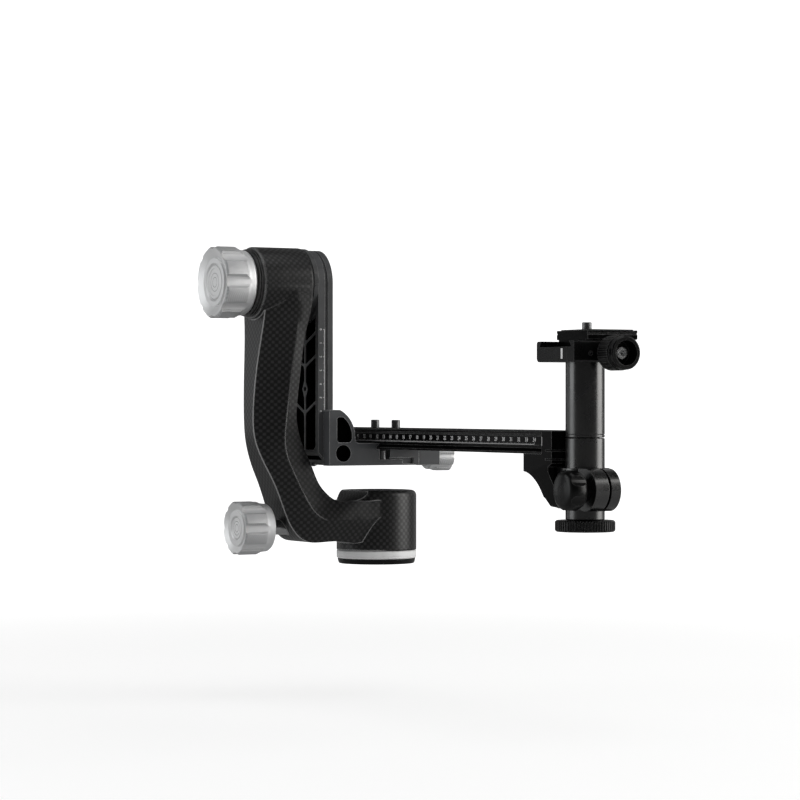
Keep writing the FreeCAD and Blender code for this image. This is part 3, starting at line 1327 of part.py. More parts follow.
def make_camera_clamp():
    half = s.camera_clamp_half
    gap = s.slide_gap
    foot = s.rail_half_width + gap
    neck = foot - s.dovetail_depth
    middle = -camera_clamp_offset
    clamp = body("camera_clamp")
    drawing = sketch(clamp, "YZ_Plane")
    outline(drawing, [
        (camera_seam + s.face_gap, clamp_low), (camera_rear - 3, clamp_low, 3), (camera_rear, clamp_low + 3),
        (camera_rear, camera_neck - 2, 2), (camera_rear - 2, camera_neck),
        (middle + neck, camera_neck), (middle + foot, camera_bed + s.dovetail_foot),
        (middle + foot, camera_bed - gap), (camera_seam + s.face_gap, camera_bed - gap)])
    pad(clamp, drawing, half * 2, both=True)
    drawing = sketch(clamp, "XZ_Plane", -camera_seam)
    circle(drawing, camera_axis_x, camera_axis_z, s.camera_stud_radius + s.run_gap)
    for side in (1, -1):
        circle(drawing, camera_axis_x + s.camera_guide_spacing * side, camera_axis_z, s.camera_guide_radius)
    pocket(clamp, drawing, s.camera_guide_depth + 1)
    drawing = sketch(clamp, "XY_Plane", camera_bed + 10)
    circle(drawing, 0, -post_offset, 5.3)
    pocket(clamp, drawing, 14.2)
    drawing = sketch(clamp, "XY_Plane", camera_bed + 10)
    circle(drawing, 0, -post_offset, 2.5)
    pocket(clamp, drawing, 40.0)
    keep(clamp, "camera_clamp")


def make_camera_jaw():
    half = s.camera_clamp_half
    gap = s.slide_gap
    foot = s.rail_half_width + gap
    neck = foot - s.dovetail_depth
    middle = -camera_clamp_offset
    jaw = body("camera_jaw")
    drawing = sketch(jaw, "YZ_Plane")
    outline(drawing, [
        (camera_front + 0.8, clamp_low), (camera_seam, clamp_low), (camera_seam, camera_bed - gap),
        (middle - foot, camera_bed - gap), (middle - foot, camera_bed + s.dovetail_foot),
        (middle - neck, camera_neck), (camera_front + 0.8, camera_neck), (camera_front, camera_neck - 0.8),
        (camera_front, clamp_low + 0.8)])
    pad(jaw, drawing, half * 2, both=True)
    drawing = sketch(jaw, "XZ_Plane", -camera_front)
    circle(drawing, camera_axis_x, camera_axis_z, s.camera_stud_radius + s.run_gap)
    for side in (1, -1):
        circle(drawing, camera_axis_x + s.camera_guide_spacing * side, camera_axis_z,
               s.camera_guide_radius + s.run_gap)
    pocket(jaw, drawing, s.camera_jaw_depth * 2, both=True)
    keep(jaw, "camera_jaw")

    guides = []
    for side in (1, -1):
        pin = body(f"camera_guide_{side}")
        length = s.camera_guide_depth + s.camera_jaw_depth - 1.5
        revolve(pin, [(0, 0), (s.camera_guide_radius, 0), (s.camera_guide_radius, length), (0, length)])
        place(pin, (camera_axis_x + s.camera_guide_spacing * side, camera_seam + s.camera_guide_depth,
                    camera_axis_z), NEAR)
        guides.append(pin)
    group("camera_jaw_guides", guides)

    radius = s.camera_knob_radius
    length = s.camera_knob_length
    stud = s.camera_stud_radius
    cup = radius * 0.72
    floor = length - 9
    owner = body("camera_knob")
    revolve(owner, [
        (stud, 0), (radius * 0.55, 0), (radius * 0.62, 2.0), (radius * 0.93, 3.4), (radius, 4.6),
        (radius, length * 0.72), (radius * 0.92, length * 0.76), (radius * 0.96, length * 0.82),
        (radius * 0.96, length - 0.8), (radius * 0.9, length), (cup, length), (cup * 0.94, floor),
        (stud, floor)])
    drawing = sketch(owner, "XY_Plane", 4.6)
    circle(drawing, radius + 0.35, 0, 0.8)
    cut = pocket(owner, drawing, length * 0.72 - 4.6, flip=True)
    around(owner, cut, drawing, 24)
    at = (camera_axis_x, camera_front - 1.0, camera_axis_z)
    keep(owner, "camera_knob", at, NEAR)

    start = camera_seam + 4.6
    reach = start - (camera_front - 1.0)
    end = reach + floor
    owner = body("camera_clamp_screw")
    revolve(owner, [
        (0, 0), (stud - 0.5, 0), (stud, 0.5), (stud, reach - 0.7), (stud + 2.4, reach - 0.7),
        (stud + 2.4, reach), (stud, reach), (stud, end), (stud + 1.4, end), (stud + 1.4, end + 3.2),
        (stud + 0.9, end + 3.8), (1.6, end + 3.8), (1.6, end + 1.0), (0, end + 1.0)])
    keep(owner, "camera_clamp_screw", (camera_axis_x, start, camera_axis_z), NEAR)


def make_camera_plate():
    half = s.plate_half_length
    foot = s.rail_half_width
    neck = foot - s.dovetail_depth
    tall = s.plate_height
    pad_high = s.plate_pad_height
    inset = s.plate_pad_inset
    track = s.plate_track_depth
    plate = body("camera_plate")
    right = [
        (foot, 0), (foot, s.dovetail_foot), (neck, s.dovetail_foot + s.dovetail_depth),
        (neck, s.dovetail_foot + s.dovetail_depth + 0.9), (foot, s.dovetail_foot + s.dovetail_depth + 1.3),
        (foot, tall - 3.0), (foot - 0.7, tall - 2.6), (foot - 0.7, tall - 2.0), (foot, tall - 1.6),
        (foot, tall - 0.5), (foot - 0.5, tall)]
    left = [(-u, v) for u, v in reversed(right)]
    drawing = sketch(plate, "YZ_Plane")
    outline(drawing, right + left)
    pad(plate, drawing, half * 2, both=True)
    drawing = sketch(plate, "XY_Plane", tall)
    rectangle(drawing, inset - half, inset - foot, half - inset, foot - inset)
    pocket(plate, drawing, pad_high / 2)
    drawing = sketch(plate, "XY_Plane")
    outline(drawing, [(-9, -7.0), (9, -7.0, 7.0), (9, 7.0), (-9, 7.0, 7.0)])
    pocket(plate, drawing, track, flip=True)
    drawing = sketch(plate, "XY_Plane")
    outline(drawing, [(-9, -3.3), (9, -3.3, 3.3), (9, 3.3), (-9, 3.3, 3.3)])
    pocket(plate, drawing, tall, flip=True)
    at = (s.plate_shift, -camera_clamp_offset, camera_bed)
    keep(plate, "camera_plate", at)

    cushion = body("plate_pad")
    drawing = sketch(cushion, "XY_Plane")
    edge = inset + s.slide_gap
    rectangle(drawing, edge - half, edge - foot, half - edge, foot - edge)
    pad(cushion, drawing, pad_high)
    drawing = sketch(cushion, "XY_Plane")
    outline(drawing, [(-9.5, -4.0), (9.5, -4.0, 4.0), (9.5, 4.0), (-9.5, 4.0, 4.0)])
    pocket(cushion, drawing, flip=True)
    keep(cushion, "plate_pad", (s.plate_shift, -camera_clamp_offset, camera_bed + tall - pad_high / 2))

    screw_at = (s.camera_screw_place, -camera_clamp_offset, camera_bed + track)
    inside = tall - track
    bolt = screw("camera_bolt", s.camera_thread_radius, inside + s.camera_thread_reach, 6.2, 3.2, screw_at,
                 neck=inside + pad_high / 2 + 0.1)
    keep(bolt, "camera_screw", screw_at)

    stops = []
    for side in (1, -1):
        stop = body(f"plate_stop_{side}")
        revolve(stop, [(0, -1.4), (1.5, -1.4), (1.5, 0), (0, 0)])
        place(stop, (half - inset + s.plate_shift, 8.0 * side - camera_clamp_offset, camera_bed))
        stops.append(stop)
    group("plate_stop_screws", stops)
    bolt_at = (0, -post_offset, camera_bed - 4.2)
    bolt = screw("clamp_bolt_body", sized(2.5), sized(18.0), sized(5.0), sized(3.4), bolt_at, DOWN)
    keep(bolt, "clamp_bolt", bolt_at, DOWN)


def write_parts():
    """Write each sub-part once every object of the document is sound."""
    doc.recompute()
    faults = [thing.Name for thing in doc.Objects if {"Invalid", "Error"} & set(thing.State)]
    for thing in subparts:
        if thing.Shape.isNull() or not thing.Shape.isValid():
            faults.append(thing.Label)
    if faults:
        raise RuntimeError("not sound: " + ", ".join(faults))
    os.makedirs("parts", exist_ok=True)
    for thing in subparts:
        thing.Shape.exportStep(os.path.join("parts", thing.Label + ".step"))
        print(thing.Label, len(thing.Shape.Solids), round(thing.Shape.Volume, 1))
    print(len(subparts), "sub-parts")


make_base()
make_yoke()
make_yoke_fittings()
make_lock_knobs()
make_swing_arm()
make_cradle()
make_jaw_spring()
make_safety_pin()
make_clamp_jaw()
make_rail()
make_bracket()
make_collar()
make_post()
make_camera_clamp()
make_camera_jaw()
make_camera_plate()
write_parts()
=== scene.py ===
import math
import bpy
import numpy as np
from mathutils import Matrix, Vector


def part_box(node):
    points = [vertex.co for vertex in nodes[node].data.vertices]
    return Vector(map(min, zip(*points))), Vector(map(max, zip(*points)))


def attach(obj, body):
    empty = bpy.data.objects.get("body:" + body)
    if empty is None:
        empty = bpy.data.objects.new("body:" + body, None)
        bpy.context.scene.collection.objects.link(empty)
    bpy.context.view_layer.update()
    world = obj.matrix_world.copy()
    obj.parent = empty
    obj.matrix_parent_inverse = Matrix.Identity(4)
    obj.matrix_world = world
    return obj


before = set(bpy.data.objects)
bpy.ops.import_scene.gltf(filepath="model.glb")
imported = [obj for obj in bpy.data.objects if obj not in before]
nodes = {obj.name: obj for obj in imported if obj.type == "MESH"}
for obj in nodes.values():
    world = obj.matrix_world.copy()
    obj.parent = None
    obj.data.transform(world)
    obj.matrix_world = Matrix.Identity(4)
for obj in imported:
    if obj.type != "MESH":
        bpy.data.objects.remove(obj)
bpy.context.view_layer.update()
scene = bpy.context.scene
mm, cm = 0.001, 0.01
print("frame loaded:", len(nodes), "nodes")

view = {
    "azimuth": -29.0,        # degrees, turned from looking along +Y
    "distance": 2.1,
    "height": 0.120,
    "sideways": 0.0177,      # how far the view's centre lies to the right of the pan axis
    "focal": 125.7,          # millimetres, on a sensor of the width below
    "sensor": 36.0,
    "shift": 0.00375,        # share of the frame by which the picture is lowered
    "farthest": 50,
}
azimuth = math.radians(view["azimuth"])
viewRight = Vector((math.cos(azimuth), math.sin(azimuth), 0))
viewForward = Vector((-math.sin(azimuth), math.cos(azimuth), 0))
viewCentre = viewRight * view["sideways"] + Vector((0, 0, view["height"]))


def addObject(name, data):
    item = bpy.data.objects.new(name, data)
    scene.collection.objects.link(item)
    return item


def makeCamera():
    lens = bpy.data.cameras.new("mainCamera")
    lens.lens = view["focal"]
    lens.sensor_width = view["sensor"]
    lens.shift_y = view["shift"]
    lens.clip_end = view["farthest"]
    camera = addObject("mainCamera", lens)
    camera.location = viewCentre - viewForward * view["distance"]
    camera.rotation_euler = viewForward.to_track_quat("-Z", "Y").to_euler()
    bpy.context.scene.camera = camera


lamps = {
    # name: (degrees to the right of the camera, height, distance, width, length, watts, tint)
    "rightBox": (84, 0.20, 1.5, 1.00, 1.9, 17, (1.0, 0.99, 0.97)),
    "leftBox": (-80, 0.20, 1.5, 0.90, 1.9, 8, (0.97, 0.99, 1.0)),
    "farLeftBox": (-128, 0.02, 1.6, 0.80, 0.9, 1.0, (0.98, 0.99, 1.0)),
    "topBox": (40, 1.5, 0.35, 1.0, 1.0, 3, (1.0, 1.0, 1.0)),
    "rearBox": (152, 0.5, 1.7, 0.9, 1.6, 1.2, (1.0, 1.0, 1.0)),
}
lampTarget = viewCentre + Vector((0, 0, 0.02))


def makeLamps():
    for name, (turn, high, away, wide, tall, watts, tint) in lamps.items():
        lamp = bpy.data.lights.new(name, "AREA")
        lamp.shape = "RECTANGLE"
        lamp.size = wide
        lamp.size_y = tall
        lamp.energy = watts
        lamp.color = tint
        holder = addObject(name, lamp)
        angle = math.radians(turn)
        out = viewRight * math.sin(angle) - viewForward * math.cos(angle)
        holder.location = viewCentre + out * away + Vector((0, 0, high))
        aim = lampTarget - holder.location
        holder.rotation_euler = aim.to_track_quat("-Z", "Y").to_euler()


# helpers that place shader nodes: a value from another node is linked, a number is typed in
def plug(tree, socket, value):
    if isinstance(value, bpy.types.NodeSocket):
        tree.links.new(value, socket)
    else:
        socket.default_value = value


def addNode(tree, kind, inputs=None, **settings):
    node = tree.nodes.new(kind)
    for name, value in settings.items():
        setattr(node, name, value)
    for key, value in (inputs or {}).items():
        plug(tree, node.inputs[key], value)
    return node


def calc(tree, operation, first, second=0.0):
    return addNode(tree, "ShaderNodeMath", {0: first, 1: second}, operation=operation).outputs[0]


def times(tree, first, *others):
    for other in others:
        first = calc(tree, "MULTIPLY", first, other)
    return first


def plus(tree, first, second):
    return calc(tree, "ADD", first, second)


def oneMinus(tree, value):
    return calc(tree, "SUBTRACT", 1.0, value)


def reach(tree, first, second):
    # distance from an axis, out of the two coordinates across it
    return calc(tree, "SQRT", plus(tree, times(tree, first, first), times(tree, second, second)))


def vectorCalc(tree, operation, first, second=(0, 0, 0)):
    node = addNode(tree, "ShaderNodeVectorMath", {0: first, 1: second}, operation=operation)
    return node.outputs["Value"] if operation in ("DOT_PRODUCT", "LENGTH") else node.outputs["Vector"]


def splitVector(tree, vector):
    return list(addNode(tree, "ShaderNodeSeparateXYZ", {0: vector}).outputs)


def remap(tree, value, low, high, toLow=0.0, toHigh=1.0):
    node = addNode(tree, "ShaderNodeMapRange", {
        "Value": value, "From Min": low, "From Max": high, "To Min": toLow, "To Max": toHigh})
    node.interpolation_type = "SMOOTHSTEP"
    return node.outputs[0]


def pick(tree, mask, off, on):
    return addNode(tree, "ShaderNodeMix", {0: mask, 2: off, 3: on}).outputs[0]


def blendColour(tree, factor, first, second):
    node = addNode(tree, "ShaderNodeMix", data_type="RGBA")
    sockets = {item.identifier: item for item in node.inputs}
    plug(tree, sockets["Factor_Float"], factor)
    plug(tree, sockets["A_Color"], first)
    plug(tree, sockets["B_Color"], second)
    return next(item for item in node.outputs if item.identifier == "Result_Color")


def noise(tree, where, scale, detail, rough):
    return addNode(tree, "ShaderNodeTexNoise", {
        "Vector": where, "Scale": scale, "Detail": detail, "Roughness": rough}).outputs[0]


def bands(tree, where, scale, direction):
    return addNode(tree, "ShaderNodeTexWave", {"Vector": where, "Scale": scale, "Distortion": 0.0},
                   wave_type="BANDS", bands_direction=direction).outputs["Fac"]


def bumped(tree, height, strength, distance, normal=None):
    inputs = {"Height": height, "Strength": strength, "Distance": distance}
    if normal is not None:
        inputs["Normal"] = normal
    return addNode(tree, "ShaderNodeBump", inputs).outputs[0]


def grey(level, blue=0.0):
    return (level, level * (1 + blue * 0.4), level * (1 + blue), 1)


def darker(colour, share):
    return tuple(part * share for part in colour[:3]) + (1,)


floatKind, vectorKind = "NodeSocketFloat", "NodeSocketVector"


def newGroup(name, inputs, outputs):
    group = bpy.data.node_groups.new(name, "ShaderNodeTree")
    for label, kind, value in inputs:
        socket = group.interface.new_socket(label, in_out="INPUT", socket_type=kind)
        if value is not None:
            socket.default_value = value
    for label, kind in outputs:
        group.interface.new_socket(label, in_out="OUTPUT", socket_type=kind)
    return group, group.nodes.new("NodeGroupInput").outputs


def closeGroup(group, **results):
    drain = group.nodes.new("NodeGroupOutput").inputs
    for name, result in results.items():
        group.links.new(result, drain[name])
    return group


def useGroup(tree, group, **inputs):
    return addNode(tree, "ShaderNodeGroup", inputs, node_tree=group).outputs


def makeBlasted():
    # bead-blasted skin: two octaves of fine noise for height, one wide noise for cloudy tone
    group, source = newGroup("blastedSkin", [("Where", vectorKind, None), ("Grain", floatKind, 2600.0)],
                             [("Height", floatKind), ("Cloud", floatKind)])
    return closeGroup(group, Height=noise(group, source["Where"], source["Grain"], 2.0, 0.6),
                      Cloud=noise(group, source["Where"], 45.0, 3.0, 0.55))


def makeEdges():
    # edge mask: how far the normal rounded over the radius leaves the true normal, as a full
    # line, as a line broken up by noise and as the plain difference
    group, source = newGroup("edgeSoftening", [("Radius", floatKind, 0.0004), ("Where", vectorKind, None)], [
        ("Mask", floatKind), ("Line", floatKind), ("Bend", floatKind), ("Normal", vectorKind)])
    rounded = addNode(group, "ShaderNodeBevel", {"Radius": source["Radius"]}, samples=6).outputs[0]
    flat = group.nodes.new("ShaderNodeNewGeometry").outputs["Normal"]
    match = vectorCalc(group, "DOT_PRODUCT", rounded, flat)
    line = remap(group, match, 0.998, 0.90)
    breakup = remap(group, noise(group, source["Where"], 420.0, 3.0, 0.6), 0.36, 0.66)
    return closeGroup(group, Mask=times(group, line, breakup), Line=line, Bend=oneMinus(group, match),
                      Normal=rounded)


def makeTurning():
    # lathe marks: noise read at the distance from an axis and at the place along it
    group, source = newGroup("latheMarks", [
        ("Where", vectorKind, None), ("Centre", vectorKind, None), ("Axis", vectorKind, None),
        ("Pitch", floatKind, 0.0004)], [("Height", floatKind), ("Radius", floatKind), ("Along", floatKind)])
    offset = vectorCalc(group, "SUBTRACT", source["Where"], source["Centre"])
    along = vectorCalc(group, "DOT_PRODUCT", offset, source["Axis"])
    length = vectorCalc(group, "LENGTH", offset)
    squared = calc(group, "SUBTRACT", times(group, length, length), times(group, along, along))
    radius = calc(group, "SQRT", calc(group, "MAXIMUM", squared, 0.0))
    place = addNode(group, "ShaderNodeCombineXYZ", {0: radius, 1: along}).outputs[0]
    streaks = noise(group, place, calc(group, "DIVIDE", 1.0, source["Pitch"]), 2.0, 0.7)
    return closeGroup(group, Height=streaks, Radius=radius, Along=along)


def makeWeave():
    # plain weave: the product of a sine across and a sine up, so light crowns lie in slanting rows
    group, source = newGroup("wovenCrowns", [
        ("Across", floatKind, 0.0), ("Up", floatKind, 0.0), ("Pitch", floatKind, 0.0048)],
        [("Tow", floatKind), ("Crown", floatKind)])
    waves = [calc(group, "SINE", times(group, calc(group, "DIVIDE", source[way], source["Pitch"]), math.tau))
             for way in ("Across", "Up")]
    product = times(group, *waves)
    return closeGroup(group, Tow=remap(group, product, -0.45, 0.60), Crown=calc(group, "ABSOLUTE", product))


blastedSkin = makeBlasted()
edgeSoftening = makeEdges()
latheMarks = makeTurning()
wovenCrowns = makeWeave()
print("shared effects built")


def clearTree(owner):
    owner.use_nodes = True
    owner.node_tree.nodes.clear()
    return owner.node_tree


def newMaterial(name):
    material = bpy.data.materials.new(name)
    tree = clearTree(material)
    shader = tree.nodes.new("ShaderNodeBsdfPrincipled")
    addNode(tree, "ShaderNodeOutputMaterial", {"Surface": shader.outputs[0]})
    where = tree.nodes.new("ShaderNodeTexCoord").outputs["Object"]
    return material, tree, shader, where


def feed(tree, shader, **inputs):
    for name, value in inputs.items():
        plug(tree, shader.inputs[name.replace("_", " ")], value)


def insideBox(tree, where, low, high):
    # one inside the box and nothing outside, with a soft rim of a third of a millimetre
    middle = tuple((a + b) / 2 for a, b in zip(low, high))
    half = tuple((b - a) / 2 for a, b in zip(low, high))
    fromMiddle = vectorCalc(tree, "ABSOLUTE", vectorCalc(tree, "SUBTRACT", where, middle))
    x, y, z = splitVector(tree, vectorCalc(tree, "SUBTRACT", fromMiddle, half))
    most = calc(tree, "MAXIMUM", calc(tree, "MAXIMUM", x, y), z)
    return remap(tree, most, 0.00015, -0.00015)


def anodised(name, colour, edgeWearAndHighlight, rough, metal=0.0, level=0.5, edge=0.0004, paintedShadeBox=None, ior=1.5):
    # dyed oxide skin: cloudy tone, fine blasted grain, rubbed edges that turn towards bare metal, and an
    # unbroken light line on every edge that is a painted edge highlight;
    # the shade box (low and high corner) names where the skin is painted near black without reflection, as
    # painted shade for unlit pockets
    material, tree, shader, where = newMaterial(name)
    skin = useGroup(tree, blastedSkin, Where=where)
    rim = useGroup(tree, edgeSoftening, Radius=edge, Where=where)
    tone = blendColour(tree, remap(tree, skin["Cloud"], 0.35, 0.65), darker(colour, 0.82), colour)
    # wear broken up by noise, plus an unbroken light line on every edge that is a painted edge highlight
    wearAndEdgeHighlight = plus(tree, times(tree, rim["Mask"], 0.35), times(tree, rim["Line"], 0.35))
    tone = blendColour(tree, wearAndEdgeHighlight, tone, edgeWearAndHighlight)
    # painted shade: inside the box the colour turns near black and the reflection is taken away
    if paintedShadeBox:
        inside = insideBox(tree, where, *paintedShadeBox)
        tone = blendColour(tree, inside, tone, grey(0.002))
        level = times(tree, oneMinus(tree, inside), level)
    feed(tree, shader, Base_Color=tone, Metallic=metal,
         Roughness=remap(tree, skin["Cloud"], 0.3, 0.7, rough - 0.04, rough + 0.05),
         Specular_IOR_Level=level, IOR=ior,
         Normal=bumped(tree, skin["Height"], 0.16, 0.00006, rim["Normal"]))
    return material


def bareMetal(name, colour, rough, centre=(0, 0, 0), axis=(0, 0, 1), pitch=0.0004, marks=0.25, rings=(),
              metal=1.0):
    # bare turned metal: lathe marks about the piece's axis over a faint blasted grain, and a thin
    # dark ring at each radius in rings
    material, tree, shader, where = newMaterial(name)
    skin = useGroup(tree, blastedSkin, Where=where)
    rim = useGroup(tree, edgeSoftening, Radius=0.0003, Where=where)
    lathe = useGroup(tree, latheMarks, Where=where, Centre=centre, Axis=axis, Pitch=pitch)
    tone = blendColour(tree, remap(tree, skin["Cloud"], 0.3, 0.7), darker(colour, 0.88), colour)
    for radius in rings:
        away = calc(tree, "ABSOLUTE", calc(tree, "SUBTRACT", lathe["Radius"], radius))
        tone = blendColour(tree, remap(tree, away, 0.00022, 0.00008), tone, grey(0.22))
    cut = bumped(tree, lathe["Height"], marks, 0.00003, rim["Normal"])
    feed(tree, shader, Base_Color=tone, Metallic=metal,
         Roughness=remap(tree, lathe["Height"], 0.3, 0.7, rough - 0.05, rough + 0.06),
         Normal=bumped(tree, skin["Height"], 0.15, 0.00005, cut))
    return material


knobLook = {
    "shade": grey(0.88, 0.02),       # the blasted metal's tone runs between these two
    "light": grey(0.96, 0.01),
    # the knurl's grooves are painted darker as painted shade; the tips keep the light tone
    "knurlGrooveShade": grey(0.62, 0.02),    # grooves and tips of the knurl
    "knurlHigh": grey(0.96, 0.02),
    "knurlScale": 400.0,
    "face": grey(0.92),
    "metal": 0.80,
    "rough": 0.54,
    "polish": 0.14,                  # how much less rough a polished place is
}


def knobMetal(name, node, axis):
    # blasted knob: fine knurl on the lands, bright lathe-cut chamfer and dish, smooth scallops
    material, tree, shader, where = newMaterial(name)
    low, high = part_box(node)
    axis = Vector(axis)
    length = abs((high - low).dot(axis))
    radius = (high - low).z / 2
    foot = tuple((low + high) / 2 - axis * length / 2)
    skin = useGroup(tree, blastedSkin, Where=where, Grain=2200.0)
    rim = useGroup(tree, edgeSoftening, Radius=0.0004, Where=where)
    lathe = useGroup(tree, latheMarks, Where=where, Centre=foot, Axis=tuple(axis), Pitch=0.00030)
    land = remap(tree, lathe["Radius"], radius - 0.0011, radius - 0.0006)
    front = remap(tree, lathe["Along"], length - 0.0032, length - 0.0024)
    face = times(tree, front, remap(tree, lathe["Radius"], radius - 0.0004, radius - 0.0009))
    knurl = times(tree, bands(tree, where, knobLook["knurlScale"], "DIAGONAL"),
                  bands(tree, where, knobLook["knurlScale"], "X"), land)
    tone = blendColour(tree, remap(tree, skin["Cloud"], 0.3, 0.7), knobLook["shade"], knobLook["light"])
    knurled = blendColour(tree, knurl, knobLook["knurlGrooveShade"], knobLook["knurlHigh"])
    tone = blendColour(tree, face, blendColour(tree, land, tone, knurled), knobLook["face"])
    polished = calc(tree, "MAXIMUM", times(tree, face, 0.5), times(tree, rim["Mask"], 0.8))
    cut = bumped(tree, times(tree, lathe["Height"], face), 0.35, 0.00004, rim["Normal"])
    grained = bumped(tree, skin["Height"], 0.25, 0.00006, cut)
    feed(tree, shader, Base_Color=tone, Metallic=knobLook["metal"],
         Roughness=calc(tree, "SUBTRACT", knobLook["rough"], times(tree, polished, knobLook["polish"])),
         Normal=bumped(tree, knurl, 0.6, 0.00016, grained))
    return material


tiltCentre = (0, 0, 0.208)
panLockCentre = (0, 0, 0.0284)
alongX = (1, 0, 0)
weave = {
    "pitch": 0.0048,
    "dark": grey(0.0016, 0.05),
    "light": grey(0.033, 0.02),
    # colour of the painted highlight line on the arm's edges that turn towards -X
    "edge": grey(0.46),
    "edgeRadius": 0.0015,
    "bend": (0.001, 0.022),   # how far a normal leans before the edge line starts and is full
    "shine": 0.55,
    "rough": 0.40,
}
hubs = {
    "lower": 0.0301,          # radius of the skin round the pan axis
    "lowerTop": 0.0555,
    "lowerRim": 0.052,        # the painted highlight round the top rim starts here
    "upper": 0.0265,          # radius of the skin round the tilt axis
    "upperLow": 0.181,
    "upright": 0.6,           # a normal that leans farther along the hub's axis is its end face
}


def carbonSkin():
    # woven carbon look on the arm: the weave is laid flat on each face and wrapped round both hubs
    material, tree, shader, where = newMaterial("carbonSkin")
    x, y, z = splitVector(tree, where)
    facing = tree.nodes.new("ShaderNodeTexCoord").outputs["Normal"]
    sides = [calc(tree, "ABSOLUTE", part) for part in splitVector(tree, facing)]
    # flat faces: pick the two coordinates that lie in the face
    xMost = calc(tree, "GREATER_THAN", sides[0], calc(tree, "MAXIMUM", sides[1], sides[2]))
    zMost = calc(tree, "GREATER_THAN", sides[2], calc(tree, "MAXIMUM", sides[0], sides[1]))
    flat = useGroup(tree, wovenCrowns, Across=pick(tree, xMost, x, y), Up=pick(tree, zMost, z, y),
                    Pitch=weave["pitch"])
    # lower hub: angle about the pan axis times its radius, and height
    fromPan = reach(tree, x, y)
    onLower = times(tree, calc(tree, "LESS_THAN", fromPan, hubs["lower"]),
                    calc(tree, "LESS_THAN", z, hubs["lowerTop"]),
                    calc(tree, "LESS_THAN", sides[2], hubs["upright"]))
    turn = times(tree, calc(tree, "ARCTAN2", y, x), hubs["lower"])
    wrapLower = useGroup(tree, wovenCrowns, Across=turn, Up=z, Pitch=weave["pitch"])
    # upper hub: angle about the tilt axis times its radius, and the place along it
    rise = calc(tree, "SUBTRACT", z, tiltCentre[2])
    onUpper = times(tree, calc(tree, "LESS_THAN", reach(tree, rise, y), hubs["upper"] + 0.0003),
                    calc(tree, "GREATER_THAN", z, hubs["upperLow"]),
                    calc(tree, "LESS_THAN", sides[0], hubs["upright"]))
    turn = times(tree, calc(tree, "ARCTAN2", rise, y), hubs["upper"])
    wrapUpper = useGroup(tree, wovenCrowns, Across=turn, Up=x, Pitch=weave["pitch"])
    tow, crown = [pick(tree, onUpper, pick(tree, onLower, flat[key], wrapLower[key]), wrapUpper[key])
                  for key in ("Tow", "Crown")]
    # the tows' tone, speckled, and stronger at the middle of each crown
    skin = useGroup(tree, blastedSkin, Where=where, Grain=1500.0)
    speckle = noise(tree, where, 900.0, 2.0, 0.7)
    light = times(tree, tow, remap(tree, crown, 0.0, 0.5, 0.55, 1.0), remap(tree, speckle, 0.3, 0.7, 0.7, 1.2))
    tone = blendColour(tree, light, weave["dark"], weave["light"])
    # painted highlight line: only on edges that turn towards -X, and round the top of the lower hub
    rim = useGroup(tree, edgeSoftening, Radius=weave["edgeRadius"], Where=where)
    lean = splitVector(tree, rim["Normal"])[0]
    topRimHighlight = times(tree, calc(tree, "LESS_THAN", fromPan, hubs["lower"] + 0.0005),
                   calc(tree, "GREATER_THAN", z, hubs["lowerRim"]))
    edgeHighlightMask = calc(tree, "MAXIMUM", remap(tree, lean, -0.15, -0.35), times(tree, topRimHighlight, 0.5))
    tone = blendColour(tree, times(tree, remap(tree, rim["Bend"], *weave["bend"]), edgeHighlightMask), tone, weave["edge"])
    height = plus(tree, times(tree, crown, 0.6), times(tree, speckle, 0.4))
    grained = bumped(tree, skin["Height"], 0.1, 0.00006, rim["Normal"])
    feed(tree, shader, Base_Color=tone, Metallic=0.0, Specular_IOR_Level=weave["shine"],
         Roughness=plus(tree, times(tree, tow, -0.08), weave["rough"]),
         Normal=bumped(tree, height, 0.25, 0.00012, grained))
    return material


def padRubber():
    # rubber pad: fine straight ribs across the plate
    material, tree, shader, where = newMaterial("padRubber")
    skin = useGroup(tree, blastedSkin, Where=where, Grain=1800.0)
    ribs = bands(tree, where, 210.0, "X")
    feed(tree, shader, Base_Color=blendColour(tree, ribs, grey(0.010), grey(0.028)),
         Roughness=remap(tree, skin["Cloud"], 0.3, 0.7, 0.62, 0.74),
         Normal=bumped(tree, ribs, 0.5, 0.0003, bumped(tree, skin["Height"], 0.2, 0.00008)))
    return material


def scaleWhite():
    # engraved and filled marks: near-white paint, a little uneven
    material, tree, shader, where = newMaterial("scaleWhite")
    skin = useGroup(tree, blastedSkin, Where=where, Grain=3000.0)
    tone = blendColour(tree, remap(tree, skin["Height"], 0.3, 0.7), grey(0.78), grey(0.94))
    feed(tree, shader, Base_Color=tone, Roughness=remap(tree, skin["Cloud"], 0.3, 0.7, 0.5, 0.6))
    return material


def plainPlastic(name, colour):
    # moulded plastic: cloudy tone and roughness over a soft blasted grain
    material, tree, shader, where = newMaterial(name)
    skin = useGroup(tree, blastedSkin, Where=where, Grain=1400.0)
    tone = blendColour(tree, remap(tree, skin["Cloud"], 0.3, 0.7), darker(colour, 0.85), colour)
    feed(tree, shader, Base_Color=tone, Roughness=remap(tree, skin["Cloud"], 0.3, 0.7, 0.45, 0.55),
         Normal=bumped(tree, skin["Height"], 0.2, 0.00008))
    return material
